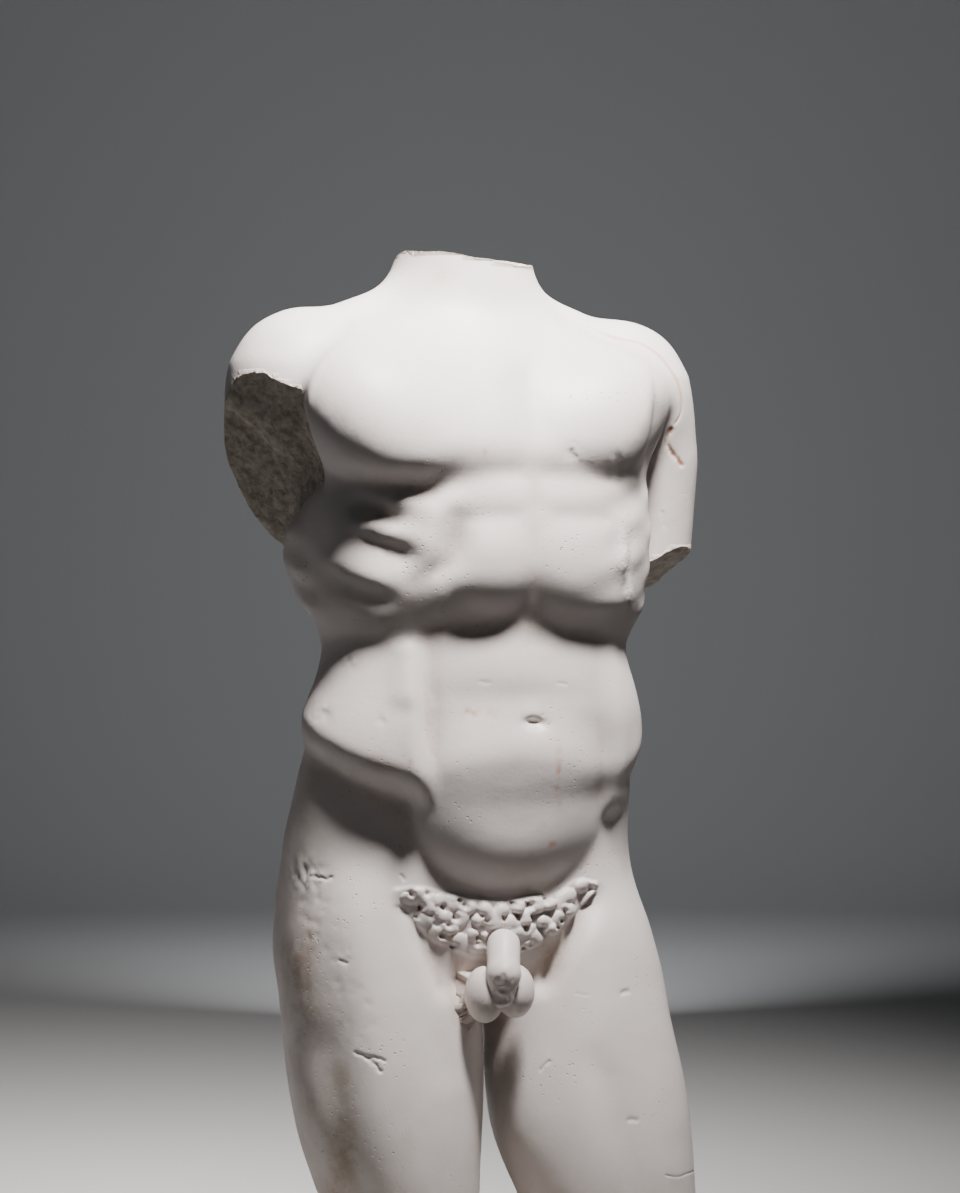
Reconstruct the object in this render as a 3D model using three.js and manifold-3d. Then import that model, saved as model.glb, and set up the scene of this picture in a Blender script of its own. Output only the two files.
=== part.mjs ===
// Marble torso of a standing youth on a low stone plinth.
// Millimetres, +Z up, the figure faces -Y. The origin is the middle of the plinth's underside.
// The figure's right side is at -X.
import * as THREE from 'three';
import Module from 'manifold-3d';

// ---------------------------------------------------------------- driving dimensions
const FIGURE_TOP = 1033;          // broken neck, above the floor
const PLINTH = { width: 500, depth: 340, height: 60, corner: 10, chamfer: 7 };
const JOINT_GAP = 0.3;            // air between thighs and plinth
const CARVING_TURN = -22;         // the front is laid out on a plane turned this far to the figure's right, degrees
const CELL = { side: 19, front: 15, back: 21.5, tall: 16, limb: 21, arm: 20, small: 10 };   // facet sizes

// Cross-sections: height, centre x, centre y, half width, depth in front, depth behind.
const TRUNK = [
  [1020, -2, 20, 40, 34, 34], [985, -1, 18, 68, 52, 50], [960, 0, 16, 108, 70, 68], [930, 1, 12, 142, 86, 86],
  [880, 4, 8, 158, 100, 100], [830, 5, 4, 159, 102, 102], [770, 6, 0, 157, 100, 96], [720, 6, -2, 151, 97, 84],
  [668, 2, -4, 145, 92, 74], [620, 1, -4, 147, 90, 76], [570, -3, -2, 156, 88, 86], [520, -6, 2, 165, 86, 98],
  [470, -6, 6, 167, 84, 106], [420, -5, 8, 161, 78, 104], [375, -4, 8, 144, 68, 90], [335, -2, 8, 104, 50, 68],
];
const NECK = [
  [920, 0, 22, 74, 58, 66], [960, 0, 22, 69, 60, 64], [1000, -3, 20, 66, 60, 60], [1060, -4, 18, 66, 60, 58],
];
const RIGHT_THIGH = [
  [30, -60, -12, 56, 60, 58], [100, -68, -10, 63, 70, 66], [140, -75, -8, 73, 77, 73], [210, -84, -4, 87, 86, 84],
  [305, -88, 4, 94, 86, 90], [400, -98, 10, 85, 78, 92], [470, -102, 14, 64, 62, 76], [530, -98, 16, 40, 40, 50],
];
const LEFT_THIGH = [
  [30, 139, -50, 68, 68, 62], [100, 132, -42, 78, 76, 68], [140, 125, -36, 86, 82, 74], [210, 114, -24, 98, 87, 84],
  [305, 108, -6, 92, 86, 92], [400, 97, 8, 84, 76, 92], [470, 90, 12, 66, 58, 74], [530, 84, 14, 40, 36, 50],
];
const RIGHT_ARM = [
  [690, -178, 38, 47, 52, 54], [800, -181, 31, 53, 56, 58], [860, -180, 26, 55, 58, 60], [920, -168, 22, 50, 56, 56],
];
const LEFT_ARM = [
  [690, 196, 36, 46, 46, 50], [800, 195, 31, 49, 52, 54], [860, 190, 26, 53, 56, 58], [915, 173, 22, 49, 54, 54],
];
// Breaks: a point on the broken face and the direction it looks in.
const NECK_BREAK = { at: [-4, 18, FIGURE_TOP], looks: [0.10, -0.06, 1.0] };
const RIGHT_ARM_BREAK = { at: [-180, 26, 829], looks: [-0.319, -0.788, -0.53] };
const LEFT_ARM_BREAK = { at: [236, 10, 756], looks: [0.38, -0.39, -0.83] };

// ---------------------------------------------------------------- blending and curves
const clamp = (x, lo = 0, hi = 1) => Math.min(hi, Math.max(lo, x));
const rad = THREE.MathUtils.degToRad;

function ramp(x, width) {
  const t = clamp(x / width);
  return t * t * (3 - 2 * t);
}

function roll(x, width, power = 2) {
  return 1 - (1 - clamp(x / width)) ** power;
}

function smoothUnion(a, b, soft) {
  const h = clamp(0.5 + (0.5 * (b - a)) / soft);
  return b + (a - b) * h - soft * h * (1 - h);
}

/** Smooth curve through rising knots, held level past its ends. */
function spline(knots, values) {
  const n = knots.length;
  const bend = new Array(n).fill(0);
  const pivot = new Array(n).fill(0);
  for (let i = 1; i < n - 1; i++) {
    const a = knots[i] - knots[i - 1];
    const b = knots[i + 1] - knots[i];
    const p = 2 * (a + b) - (a * a) / (pivot[i - 1] || Infinity);
    const right = 6 * ((values[i + 1] - values[i]) / b - (values[i] - values[i - 1]) / a);
    bend[i] = right - (pivot[i - 1] ? (a / pivot[i - 1]) * bend[i - 1] : 0);
    pivot[i] = p;
  }
  for (let i = n - 2; i > 0; i--) bend[i] = (bend[i] - (knots[i + 1] - knots[i]) * bend[i + 1]) / pivot[i];
  return (x) => {
    const t = clamp(x, knots[0], knots[n - 1]);
    let i = 0;
    while (i < n - 2 && t > knots[i + 1]) i++;
    const w = knots[i + 1] - knots[i];
    const a = t - knots[i];
    const b = knots[i + 1] - t;
    return (bend[i] * b ** 3 + bend[i + 1] * a ** 3) / (6 * w)
      + (values[i] / w - (bend[i] * w) / 6) * b + (values[i + 1] / w - (bend[i + 1] * w) / 6) * a;
  };
}

const edge = (points) => spline(points.map((p) => p[0]), points.map((p) => p[1]));

// ---------------------------------------------------------------- masses: each gives a distance at (x, y, z)
function egg(centre, radii, tilt = [0, 0, 0]) {
  const turn = new THREE.Matrix4().makeRotationFromEuler(new THREE.Euler(...tilt.map(rad), 'ZYX')).transpose();
  const p = new THREE.Vector3();
  return (x, y, z) => {
    p.set(x - centre[0], y - centre[1], z - centre[2]).applyMatrix4(turn);
    const r = p.length();
    return r - r / Math.max(1e-6, Math.hypot(p.x / radii[0], p.y / radii[1], p.z / radii[2]));
  };
}

function bar(a, b, ra, rb) {
  const d = b.map((v, i) => v - a[i]);
  const dd = d[0] ** 2 + d[1] ** 2 + d[2] ** 2;
  return (x, y, z) => {
    const t = clamp(((x - a[0]) * d[0] + (y - a[1]) * d[1] + (z - a[2]) * d[2]) / dd);
    return Math.hypot(x - a[0] - t * d[0], y - a[1] - t * d[1], z - a[2] - t * d[2]) - ra - (rb - ra) * t;
  };
}

function column(rows, power) {
  const sorted = [...rows].sort((a, b) => a[0] - b[0]);
  const heights = sorted.map((row) => row[0]);
  const [cx, cy, half, front, back] = [1, 2, 3, 4, 5].map((k) => spline(heights, sorted.map((row) => row[k])));
  return (x, y, z) => {
    const dx = x - cx(z);
    const dy = y - cy(z);
    const depth = dy < 0 ? front(z) : back(z);
    const q = (Math.abs(dx / half(z)) ** power + Math.abs(dy / depth) ** power) ** (1 / power);
    const r = Math.hypot(dx, dy);
    const d = r - r / Math.max(q, 1e-4);
    const past = Math.max(heights[0] - z, z - heights[heights.length - 1]);
    return past > 0 ? Math.hypot(Math.max(d, 0), past) : d;
  };
}

const blend = (soft, ...parts) => (x, y, z) => parts.map((f) => f(x, y, z)).reduce((a, b) => smoothUnion(a, b, soft));
const mirrored = (make) => [-1, 1].map(make);

const rightArm = blend(24, column(RIGHT_ARM, 2.1), egg([-170, 18, 910], [62, 62, 68], [0, 12, 0]));
const leftArm = blend(24, column(LEFT_ARM, 2.1), egg([171, 18, 907], [60, 62, 68], [0, -12, 0]));

const shoulders = mirrored((s) => bar([s * 17, 28, 978], [s * 150, 24, s < 0 ? 938 : 935], 44, 36));
const chest = mirrored((s) => egg([2 + s * 104, -26, 884], [82, 66, 60], [0, -s * 17, -s * 10]));
const broadBack = mirrored((s) => egg([3 + s * 102, 44, 810], [58, 60, 118], [0, -s * 8, 0]));
const blades = mirrored((s) => egg([2 + s * 84, 70, 894], [64, 38, 70], [0, 0, s * 12]));
const thighs = blend(9, column(RIGHT_THIGH, 2.15), column(LEFT_THIGH, 2.15));
const seat = blend(8, egg([-80, 58, 414], [88, 74, 92]), egg([72, 56, 402], [84, 70, 88]));
const upper = [[column(TRUNK, 2.35), 0], [shoulders[0], 30], [shoulders[1], 30], [column(NECK, 2.1), 38],
  [chest[0], 34], [chest[1], 34], [broadBack[0], 30], [blades[0], 30], [broadBack[1], 30], [blades[1], 30],
  [thighs, 24], [seat, 20]];

function torsoMass(x, y, z) {
  return upper.reduce((d, [part, soft]) => (soft ? smoothUnion(d, part(x, y, z), soft) : part(x, y, z)), 0);
}

const shaft = blend(6, bar([-9, -84, 388], [-6, -110, 352], 17, 16.5), bar([-6, -110, 352], [-4, -110, 328], 16.5, 13));
const sac = blend(8, egg([-22, -84, 340], [21, 25, 30]), egg([8, -84, 342], [19, 24, 28]));
const manhood = blend(10, shaft, sac);

// ---------------------------------------------------------------- strokes of carving on a plane (u across, z up)
function local(u, z, centre, angle) {
  const c = Math.cos(rad(angle));
  const s = Math.sin(rad(angle));
  return [(u - centre[0]) * c + (z - centre[1]) * s, -(u - centre[0]) * s + (z - centre[1]) * c];
}

function cushion(u, z, centre, radii, angle, rise, square, fall = 1) {
  const [a, b] = local(u, z, centre, angle);
  const q = (Math.abs(a / radii[0]) ** square + Math.abs(b / radii[1]) ** square) ** (1 / square);
  return rise * clamp(1 - q * q) ** fall;
}

function mound(u, z, centre, radii, angle, rise) {
  const [a, b] = local(u, z, centre, angle);
  return rise * Math.exp(-((a / radii[0]) ** 2) - (b / radii[1]) ** 2);
}

/** Distance to a bent path, and how far along it the nearest place is. */
function along(u, z, path) {
  const curve = path.curve ?? (path.curve = new THREE.SplineCurve(path.map((p) => new THREE.Vector2(...p))).getPoints(14));
  let best = Infinity;
  let share = 0;
  for (let i = 0; i + 1 < curve.length; i++) {
    const a = curve[i];
    const dx = curve[i + 1].x - a.x;
    const dz = curve[i + 1].y - a.y;
    const t = clamp(((u - a.x) * dx + (z - a.y) * dz) / (dx * dx + dz * dz));
    const r = Math.hypot(u - a.x - t * dx, z - a.y - t * dz);
    if (r < best) [best, share] = [r, (i + t) / (curve.length - 1)];
  }
  return [best, share];
}

function ridge(u, z, path, width, rise, taper = 0.25) {
  const [r, s] = along(u, z, path);
  return rise * Math.exp(-((r / width) ** 2)) * ramp(s, taper) * ramp(1 - s, taper);
}

const furrow = (u, z, path, width, depth, taper) => ridge(u, z, path, width, -depth, taper);

// ---------------------------------------------------------------- the front
const BREAST_EDGE = edge([[-165, 905], [-137, 862], [-122, 838], [-100, 820], [-65, 809], [-28, 811], [9, 819],
  [40, 828], [52, 835], [64, 827], [102, 817], [130, 815], [150, 818], [172, 850]]);
const RIB_EDGE = edge([[-165, 664], [-141, 661], [-120, 666], [-79, 669], [-55, 676], [-37, 684], [0, 690], [37, 696],
  [51, 702], [62, 698], [93, 684], [130, 670], [155, 664]]);
const RIGHT_HIP_EDGE = edge([[-185, 590], [-155, 577], [-130, 564], [-93, 546], [-65, 533], [-48, 524], [-30, 514]]);
const LEFT_HIP_EDGE = edge([[105, 516], [122, 515], [140, 519], [165, 529]]);
const LINE = {
  breastbone: [[52, 830], [51, 880], [46, 940]],
  middle: [[53, 822], [54, 760], [54, 690]],
  ribMargin: [[0, 800], [-30, 784], [-46, 748], [-58, 716]],
  upperRib: [[-104, 798], [-74, 786], [-46, 774]],
  middleRib: [[-126, 766], [-80, 748], [-34, 726]],
  farRibs: [[124, 800], [142, 756], [138, 706]],
  rightGroin: [[-66, 446], [-44, 410], [-4, 346]],
  leftGroin: [[124, 446], [100, 410], [60, 346]],
  rightThighCrest: [[-112, 470], [-92, 330], [-62, 160], [-48, 60]],
  rightThighInner: [[-58, 420], [-36, 330], [-14, 240]],
  leftThighCrest: [[120, 440], [134, 330], [120, 200], [112, 60]],
  leftThighOuter: [[110, 300], [140, 220], [160, 130], [158, 60]],
};

function breast(u, z) {
  const off = Math.abs(u - 52);
  return (9 + 10 * ramp(off, 90)) * roll(z - BREAST_EDGE(u), 26 + 22 * ramp(off, 130), 2.2) * ramp(1000 - z, 185)
    + furrow(u, z, LINE.breastbone, 15, 4.5, 0.3)
    + mound(u, z, [-48, 858], [60, 34], 8, 4) + mound(u, z, [112, 858], [48, 32], -8, 3);
}

function ribcage(u, z) {
  const blocks = cushion(u, z, [17, 742], [40, 44], 0, 5.5, 2.4, 1.3) + cushion(u, z, [95, 742], [44, 44], -4, 5.5, 2.4, 1.3)
    + cushion(u, z, [16, 798], [42, 24], 4, 5, 2.2, 1.3) + cushion(u, z, [100, 798], [46, 24], -4, 4.5, 2.2, 1.3);
  const ribs = mound(u, z, [-68, 797], [30, 12], -24, 5) + mound(u, z, [-88, 762], [36, 12], -26, 6)
    + mound(u, z, [-104, 724], [40, 14], -24, 6) + ridge(u, z, LINE.ribMargin, 12, 4)
    + furrow(u, z, LINE.upperRib, 9, 5) + furrow(u, z, LINE.middleRib, 9, 6) + ridge(u, z, LINE.farRibs, 12, 4);
  return 15 * roll(z - RIB_EDGE(u), 44, 2.1) * ramp(930 - z, 190) + blocks + ribs
    + furrow(u, z, LINE.middle, 9, 3.2, 0.2) + mound(u, z, [-21, 753], [13, 20], -12, -7);
}

function hipPads(u, z) {
  return 15 * roll(z - RIGHT_HIP_EDGE(u), 32) * ramp(684 - z, 96) * roll(-34 - u, 34)
    + 12 * roll(z - LEFT_HIP_EDGE(u), 28) * ramp(684 - z, 110) * roll(u - 112, 28);
}

function belly(u, z) {
  const aside = Math.abs(u - 36) / 93;
  const down = Math.max(0, 524 - z) / 92;
  const inside = (1 - (aside ** 2.2 + down ** 2.2) ** (1 / 2.2)) * 92;
  const top = z + 26 * Math.min(1, aside) ** 2;
  return 23 * roll(inside, 60, 2.1) * (0.5 * (1 - ramp(top - 558, 54)) + 0.5 * (1 - ramp(top - 566, 124)))
    + mound(u, z, [36, 652], [78, 26], 0, 3) + mound(u, z, [53, 593], [8, 5], 0, -8);
}

function loins(u, z) {
  return mound(u, z, [28, 398], [50, 30], 0, 7)
    + furrow(u, z, LINE.rightGroin, 10, 8) + furrow(u, z, LINE.leftGroin, 10, 8)
    + ridge(u, z, LINE.rightThighCrest, 34, 5, 0.15) + furrow(u, z, LINE.rightThighInner, 20, 4, 0.2)
    + ridge(u, z, LINE.leftThighCrest, 34, 4, 0.15) + furrow(u, z, LINE.leftThighOuter, 16, 4, 0.2);
}

const front = (u, z) => breast(u, z) + ribcage(u, z) + hipPads(u, z) + belly(u, z) + loins(u, z);

// ---------------------------------------------------------------- the sides and the back; v runs towards the back
const SIDE_RIB_EDGE = edge([[-80, 668], [-40, 664], [0, 662], [60, 690], [100, 740]]);
const RIGHT_SIDE_HIP = edge([[-110, 545], [-60, 562], [0, 580], [50, 590], [110, 580]]);
const LEFT_SIDE_HIP = edge([[-110, 516], [-60, 520], [0, 532], [50, 556], [110, 566]]);
const SPINE = [[0, 1000], [-2, 900], [-6, 780], [-6, 640], [0, 520], [4, 470]];
const CLEFT = [[4, 480], [3, 420], [2, 340]];
const BACK_LINE = mirrored((s) => ({
  bladeEdge: [[s * 38, 920], [s * 56, 870], [s * 84, 822], [s * 128, 800]],
  bladeSpine: [[s * 46, 960], [s * 90, 945], [s * 140, 938]],
  backMuscle: [[s * 26, 760], [s * 30, 640], [s * 24, 530]],
  seatFold: [[s * 10, 316], [s * 50, 320], [s * 100, 336]],
  hipFurrow: [[s * 130, 560], [s * 92, 540], [s * 56, 505]],
}));
const RIB_LINES = [0, 1, 2, 3].map((n) => [[-10, 796 - 36 * n], [30, 812 - 34 * n], [60, 832 - 32 * n]]);

function flank(v, z, hipEdge, rise) {
  let h = rise * roll(z - hipEdge(v), 34) * ramp(688 - z, 100) * ramp(150 - v, 110)
    + 14 * roll(z - SIDE_RIB_EDGE(v), 46, 2.1) * ramp(930 - z, 190) * ramp(100 - v, 90)
    + mound(v, z, [22, 446], [34, 40], 0, -7);
  RIB_LINES.forEach((line, n) => {
    h += mound(v, z, [-34 - 3 * n, 812 - 36 * n], [26, 11], 24, 5) + ridge(v, z, line, 9, 2);
  });
  return h;
}

function back(u, z) {
  let h = furrow(u, z, SPINE, 15, 9, 0.12) + furrow(u, z, CLEFT, 10, 9, 0.2);
  for (const line of BACK_LINE) {
    h += ridge(u, z, line.backMuscle, 20, 5) + ridge(u, z, line.bladeSpine, 16, 5)
      + furrow(u, z, line.bladeEdge, 14, 5) + furrow(u, z, line.seatFold, 12, 5) + furrow(u, z, line.hipFurrow, 22, 4);
  }
  return h;
}

// ---------------------------------------------------------------- carving height at a place on the figure
const across = (azimuth) => [Math.cos(rad(azimuth)), Math.sin(rad(azimuth))];
const SHEETS = [
  { azimuth: CARVING_TURN, way: 1, carve: front },
  { azimuth: 180, way: 1, carve: back },
  { azimuth: CARVING_TURN - 90, way: -1, carve: (v, z) => flank(v, z, RIGHT_SIDE_HIP, 15) },
  { azimuth: CARVING_TURN + 90, way: 1, carve: (v, z) => flank(v, z, LEFT_SIDE_HIP, 12) },
];

function carving(p, normal) {
  const mass = torsoMass(p.x, p.y, p.z);
  let total = 0;
  let height = 0;
  for (const { azimuth, way, carve } of SHEETS) {
    const [c, s] = across(azimuth);
    const share = Math.max(0, normal.x * s - normal.y * c + 0.1) ** 2;
    if (share > 0) height += share * carve(way * (p.x * c + p.y * s), p.z);
    total += share;
  }
  const arms = Math.min(rightArm(p.x, p.y, p.z), leftArm(p.x, p.y, p.z));
  return (height / (total || 1)) * ramp(arms - mass, 26) * ramp(1012 - p.z, 40);
}

// ---------------------------------------------------------------- skin over a mass
/** Grid lines from lo to hi, each step given by the place it starts from. */
function gridLines(lo, hi, step) {
  const lines = [lo];
  while (lines[lines.length - 1] < hi) lines.push(lines[lines.length - 1] + step(lines[lines.length - 1]));
  return lines;
}

function slope(f, p, out = new THREE.Vector3()) {
  const e = 0.5;
  const { x, y, z } = p;
  return out.set(f(x + e, y, z) - f(x - e, y, z), f(x, y + e, z) - f(x, y - e, z), f(x, y, z + e) - f(x, y, z - e))
    .divideScalar(2 * e);
}

/** One vertex in each crossed cell, one quad over each crossed grid edge. */
function skin(f, [xs, ys, zs]) {
  const [nx, ny, nz] = [xs.length, ys.length, zs.length];
  const at = (i, j, k) => i + nx * (j + ny * k);
  const value = new Float32Array(nx * ny * nz);
  for (let k = 0; k < nz; k++) for (let j = 0; j < ny; j++) for (let i = 0; i < nx; i++) value[at(i, j, k)] = f(xs[i], ys[j], zs[k]);
  const points = [];
  const cell = new Map();
  const corners = [0, 1, 2, 3, 4, 5, 6, 7].map((n) => [n & 1, (n >> 1) & 1, n >> 2]);
  const sides = [];
  for (let a = 0; a < 8; a++) for (const bit of [1, 2, 4]) if (!(a & bit)) sides.push([corners[a], corners[a | bit]]);
  for (let k = 0; k + 1 < nz; k++) for (let j = 0; j + 1 < ny; j++) for (let i = 0; i + 1 < nx; i++) {
    const sum = new THREE.Vector3();
    let hits = 0;
    for (const [a, b] of sides) {
      const va = value[at(i + a[0], j + a[1], k + a[2])];
      const vb = value[at(i + b[0], j + b[1], k + b[2])];
      if (va < 0 === vb < 0) continue;
      const t = va / (va - vb);
      const mix = (list, n, o) => list[n + a[o]] * (1 - t) + list[n + b[o]] * t;
      sum.x += mix(xs, i, 0);
      sum.y += mix(ys, j, 1);
      sum.z += mix(zs, k, 2);
      hits++;
    }
    if (hits) {
      cell.set(at(i, j, k), points.length);
      points.push(sum.divideScalar(hits));
    }
  }
  const triangles = [];
  const steps = [[1, 0, 0], [0, 1, 0], [0, 0, 1]];
  for (let k = 1; k + 1 < nz; k++) for (let j = 1; j + 1 < ny; j++) for (let i = 1; i + 1 < nx; i++) {
    steps.forEach(([dx, dy, dz], axis) => {
      const va = value[at(i, j, k)] < 0;
      const vb = value[at(i + dx, j + dy, k + dz)] < 0;
      if (va === vb) return;
      const [p, q] = [steps[(axis + 1) % 3], steps[(axis + 2) % 3]];
      const ring = [[0, 0], [1, 0], [1, 1], [0, 1]].map(([m, n]) => cell.get(
        at(i - m * p[0] - n * q[0], j - m * p[1] - n * q[1], k - m * p[2] - n * q[2])));
      const quad = va ? ring : ring.reverse();
      const even = points[quad[0]].distanceTo(points[quad[2]]) <= points[quad[1]].distanceTo(points[quad[3]]);
      const [a, b, c, d] = even ? quad : [quad[1], quad[2], quad[3], quad[0]];
      triangles.push(a, b, c, a, c, d);
    });
  }
  return { points, triangles };
}

/** Pulls each vertex onto the mass, then lifts it by the carving. */
function settle({ points, triangles }, f, lift) {
  const g = new THREE.Vector3();
  for (const p of points) {
    for (let pass = 0; pass < 3; pass++) {
      slope(f, p, g);
      p.addScaledVector(g, -clamp(f(p.x, p.y, p.z) / Math.max(0.2, g.lengthSq()), -8, 8));
    }
    if (lift) {
      slope(f, p, g).normalize();
      p.addScaledVector(g, lift(p, g));
    }
  }
  return { points, triangles };
}

// ---------------------------------------------------------------- joining and cutting
const { Manifold, Mesh, setup } = await Module().then((wasm) => { wasm.setup(); return wasm; });

function solid({ points, triangles }) {
  const mesh = new Mesh({
    numProp: 3,
    vertProperties: Float32Array.from(points.flatMap((p) => [p.x, p.y, p.z])),
    triVerts: Uint32Array.from(triangles),
  });
  mesh.merge();
  return new Manifold(mesh);
}

/** A box standing on a plane, used to take away everything past a break. */
function boxPast({ at, looks }, size) {
  const box = new THREE.BoxGeometry(size, size, size).translate(0, 0, size / 2);
  const turn = new THREE.Quaternion().setFromUnitVectors(new THREE.Vector3(0, 0, 1), new THREE.Vector3(...looks).normalize());
  box.applyQuaternion(turn).translate(...at);
  const points = [];
  const spots = box.getAttribute('position');
  const seen = new Map();
  const index = [...box.index.array].map((i) => {
    const p = new THREE.Vector3().fromBufferAttribute(spots, i);
    const key = p.toArray().map((v) => v.toFixed(3)).join();
    if (!seen.has(key)) {
      seen.set(key, points.length);
      points.push(p);
    }
    return seen.get(key);
  });
  return solid({ points, triangles: index });
}

function toGeometry(manifold) {
  const mesh = manifold.getMesh();
  const geometry = new THREE.BufferGeometry();
  geometry.setAttribute('position', new THREE.Float32BufferAttribute(mesh.vertProperties, 3));
  geometry.setIndex([...mesh.triVerts]);
  geometry.computeVertexNormals();
  return geometry;
}

// ---------------------------------------------------------------- the two pieces
const evenGrid = (size, ...spans) => spans.map(([lo, hi]) => gridLines(lo, hi, () => size));

function figureGrid() {
  return [gridLines(-262, 262, () => CELL.side), gridLines(-175, 175, (y) => (y < -20 ? CELL.front : CELL.back)),
    gridLines(-8, 1096, (z) => (z < 250 || z > 890 ? CELL.limb : CELL.tall))];
}

function makeTorso() {
  const rest = { at: [0, 0, PLINTH.height + JOINT_GAP], looks: [0, 0, -1] };
  const figure = solid(settle(skin(torsoMass, figureGrid()), torsoMass, carving));
  const loose = (mass, grid) => solid(settle(skin(mass, grid), mass));
  const right = loose(rightArm, evenGrid(CELL.arm, [-275, -70], [-80, 130], [640, 1010])).subtract(boxPast(RIGHT_ARM_BREAK, 400));
  const left = loose(leftArm, evenGrid(CELL.arm, [75, 290], [-80, 130], [640, 1010])).subtract(boxPast(LEFT_ARM_BREAK, 400));
  const loin = loose(manhood, evenGrid(CELL.small, [-70, 60], [-160, -30], [280, 440]));
  const trimmed = figure.subtract(boxPast(rest, 700)).subtract(boxPast(NECK_BREAK, 700));
  return toGeometry(trimmed.add(right).add(left).add(loin));
}

function makePlinth() {
  const { width, depth, height, corner, chamfer } = PLINTH;
  const inset = corner + chamfer;
  const shape = new THREE.Shape();
  const [w, d] = [width / 2 - chamfer, depth / 2 - chamfer];
  shape.moveTo(-w + inset, -d);
  for (const [cx, cy, from] of [[w - inset, -d + inset, -90], [w - inset, d - inset, 0], [-w + inset, d - inset, 90], [-w + inset, -d + inset, 180]]) {
    shape.absarc(cx, cy, inset, rad(from), rad(from + 90), false);
  }
  const block = new THREE.ExtrudeGeometry(shape, {
    depth: height - 2 * chamfer, bevelEnabled: true, bevelThickness: chamfer, bevelSize: chamfer, bevelSegments: 1, curveSegments: 4,
  });
  return block.translate(0, 0, chamfer);
}

const marble = new THREE.MeshStandardMaterial({ color: 0xe9e4da, roughness: 0.5, metalness: 0 });
const limestone = new THREE.MeshStandardMaterial({ color: 0xc9c2b4, roughness: 0.75, metalness: 0 });

function named(name, geometry, material) {
  const mesh = new THREE.Mesh(geometry, material);
  mesh.name = name;
  return mesh;
}

const statue = new THREE.Group();
statue.name = 'marble_torso';
statue.add(named('torso', makeTorso(), marble), named('plinth', makePlinth(), limestone));
export default statue;
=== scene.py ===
"""Marble torso of a standing youth on a low stone plinth, carved in millimetres and shown in metres."""

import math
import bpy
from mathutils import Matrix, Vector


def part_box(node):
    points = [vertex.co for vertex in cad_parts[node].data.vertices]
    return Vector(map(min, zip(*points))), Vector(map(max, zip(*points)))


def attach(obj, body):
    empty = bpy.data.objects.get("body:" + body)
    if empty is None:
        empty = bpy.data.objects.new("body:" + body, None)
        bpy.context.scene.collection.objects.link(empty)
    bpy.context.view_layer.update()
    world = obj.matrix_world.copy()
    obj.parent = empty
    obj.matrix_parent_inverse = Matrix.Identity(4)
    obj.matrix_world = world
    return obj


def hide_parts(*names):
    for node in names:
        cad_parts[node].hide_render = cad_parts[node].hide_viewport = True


bl_info = {
    "name": "Marble Torso",
    "version": (1, 0, 0),
    "blender": (4, 5, 0),
    "location": "3D View > Sidebar > Statue",
    "description": "Carves a weathered marble torso and the low plinth it rests on",
    "category": "Add Mesh",
}

import bmesh
import bpy
import numpy as np
from mathutils import Vector

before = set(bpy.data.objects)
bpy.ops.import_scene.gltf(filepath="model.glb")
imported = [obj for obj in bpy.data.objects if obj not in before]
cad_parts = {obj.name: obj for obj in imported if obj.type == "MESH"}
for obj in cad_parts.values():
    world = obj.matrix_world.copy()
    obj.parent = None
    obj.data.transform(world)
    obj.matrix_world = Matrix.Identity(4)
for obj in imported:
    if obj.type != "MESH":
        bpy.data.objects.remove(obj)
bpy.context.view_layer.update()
MM = 0.001

# ---------------------------------------------------------------- cross-sections of the figure
# Each row: height, centre x, centre y, half width, depth in front, depth behind.
TRUNK = [
    (1020, -2, 20, 40, 34, 34), (985, -1, 18, 68, 52, 50), (960, 0, 16, 108, 70, 68),
    (930, 1, 12, 142, 86, 86), (880, 4, 8, 158, 100, 100), (830, 5, 4, 159, 102, 102),
    (770, 6, 0, 157, 100, 96), (720, 6, -2, 151, 97, 84), (668, 2, -4, 145, 92, 74),
    (620, 1, -4, 147, 90, 76), (570, -3, -2, 156, 84, 86), (520, -6, 2, 165, 80, 98),
    (470, -6, 6, 167, 78, 106), (420, -5, 8, 161, 75, 104), (375, -4, 8, 144, 68, 90),
    (335, -2, 8, 104, 50, 68),
]
NECK = [(920, 0, 22, 74, 58, 66), (960, 0, 22, 69, 60, 64), (1000, 1, 20, 63, 60, 60),
        (1060, 2, 18, 63, 60, 58)]
RIGHT_THIGH = [
    (30, -60, -12, 56, 60, 58), (100, -68, -10, 63, 70, 66), (140, -75, -8, 73, 77, 73),
    (210, -84, -4, 87, 86, 84), (305, -88, 4, 94, 86, 90), (400, -98, 10, 85, 78, 92),
    (470, -102, 14, 64, 62, 76), (530, -98, 16, 40, 40, 50),
]
LEFT_THIGH = [
    (30, 139, -50, 68, 68, 62), (100, 132, -42, 78, 76, 68), (140, 125, -36, 86, 82, 74),
    (210, 114, -24, 98, 87, 84), (305, 108, -6, 92, 86, 92), (400, 97, 8, 84, 76, 92),
    (470, 90, 12, 66, 58, 74), (530, 84, 14, 40, 36, 50),
]
RIGHT_ARM = [(690, -178, 38, 47, 52, 54), (800, -181, 31, 53, 56, 58), (860, -180, 26, 55, 58, 60),
             (920, -168, 22, 50, 56, 56)]
LEFT_ARM = [(690, 196, 36, 46, 46, 50), (800, 195, 31, 49, 52, 54), (860, 190, 26, 53, 56, 58),
            (915, 173, 22, 49, 54, 54)]

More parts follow.
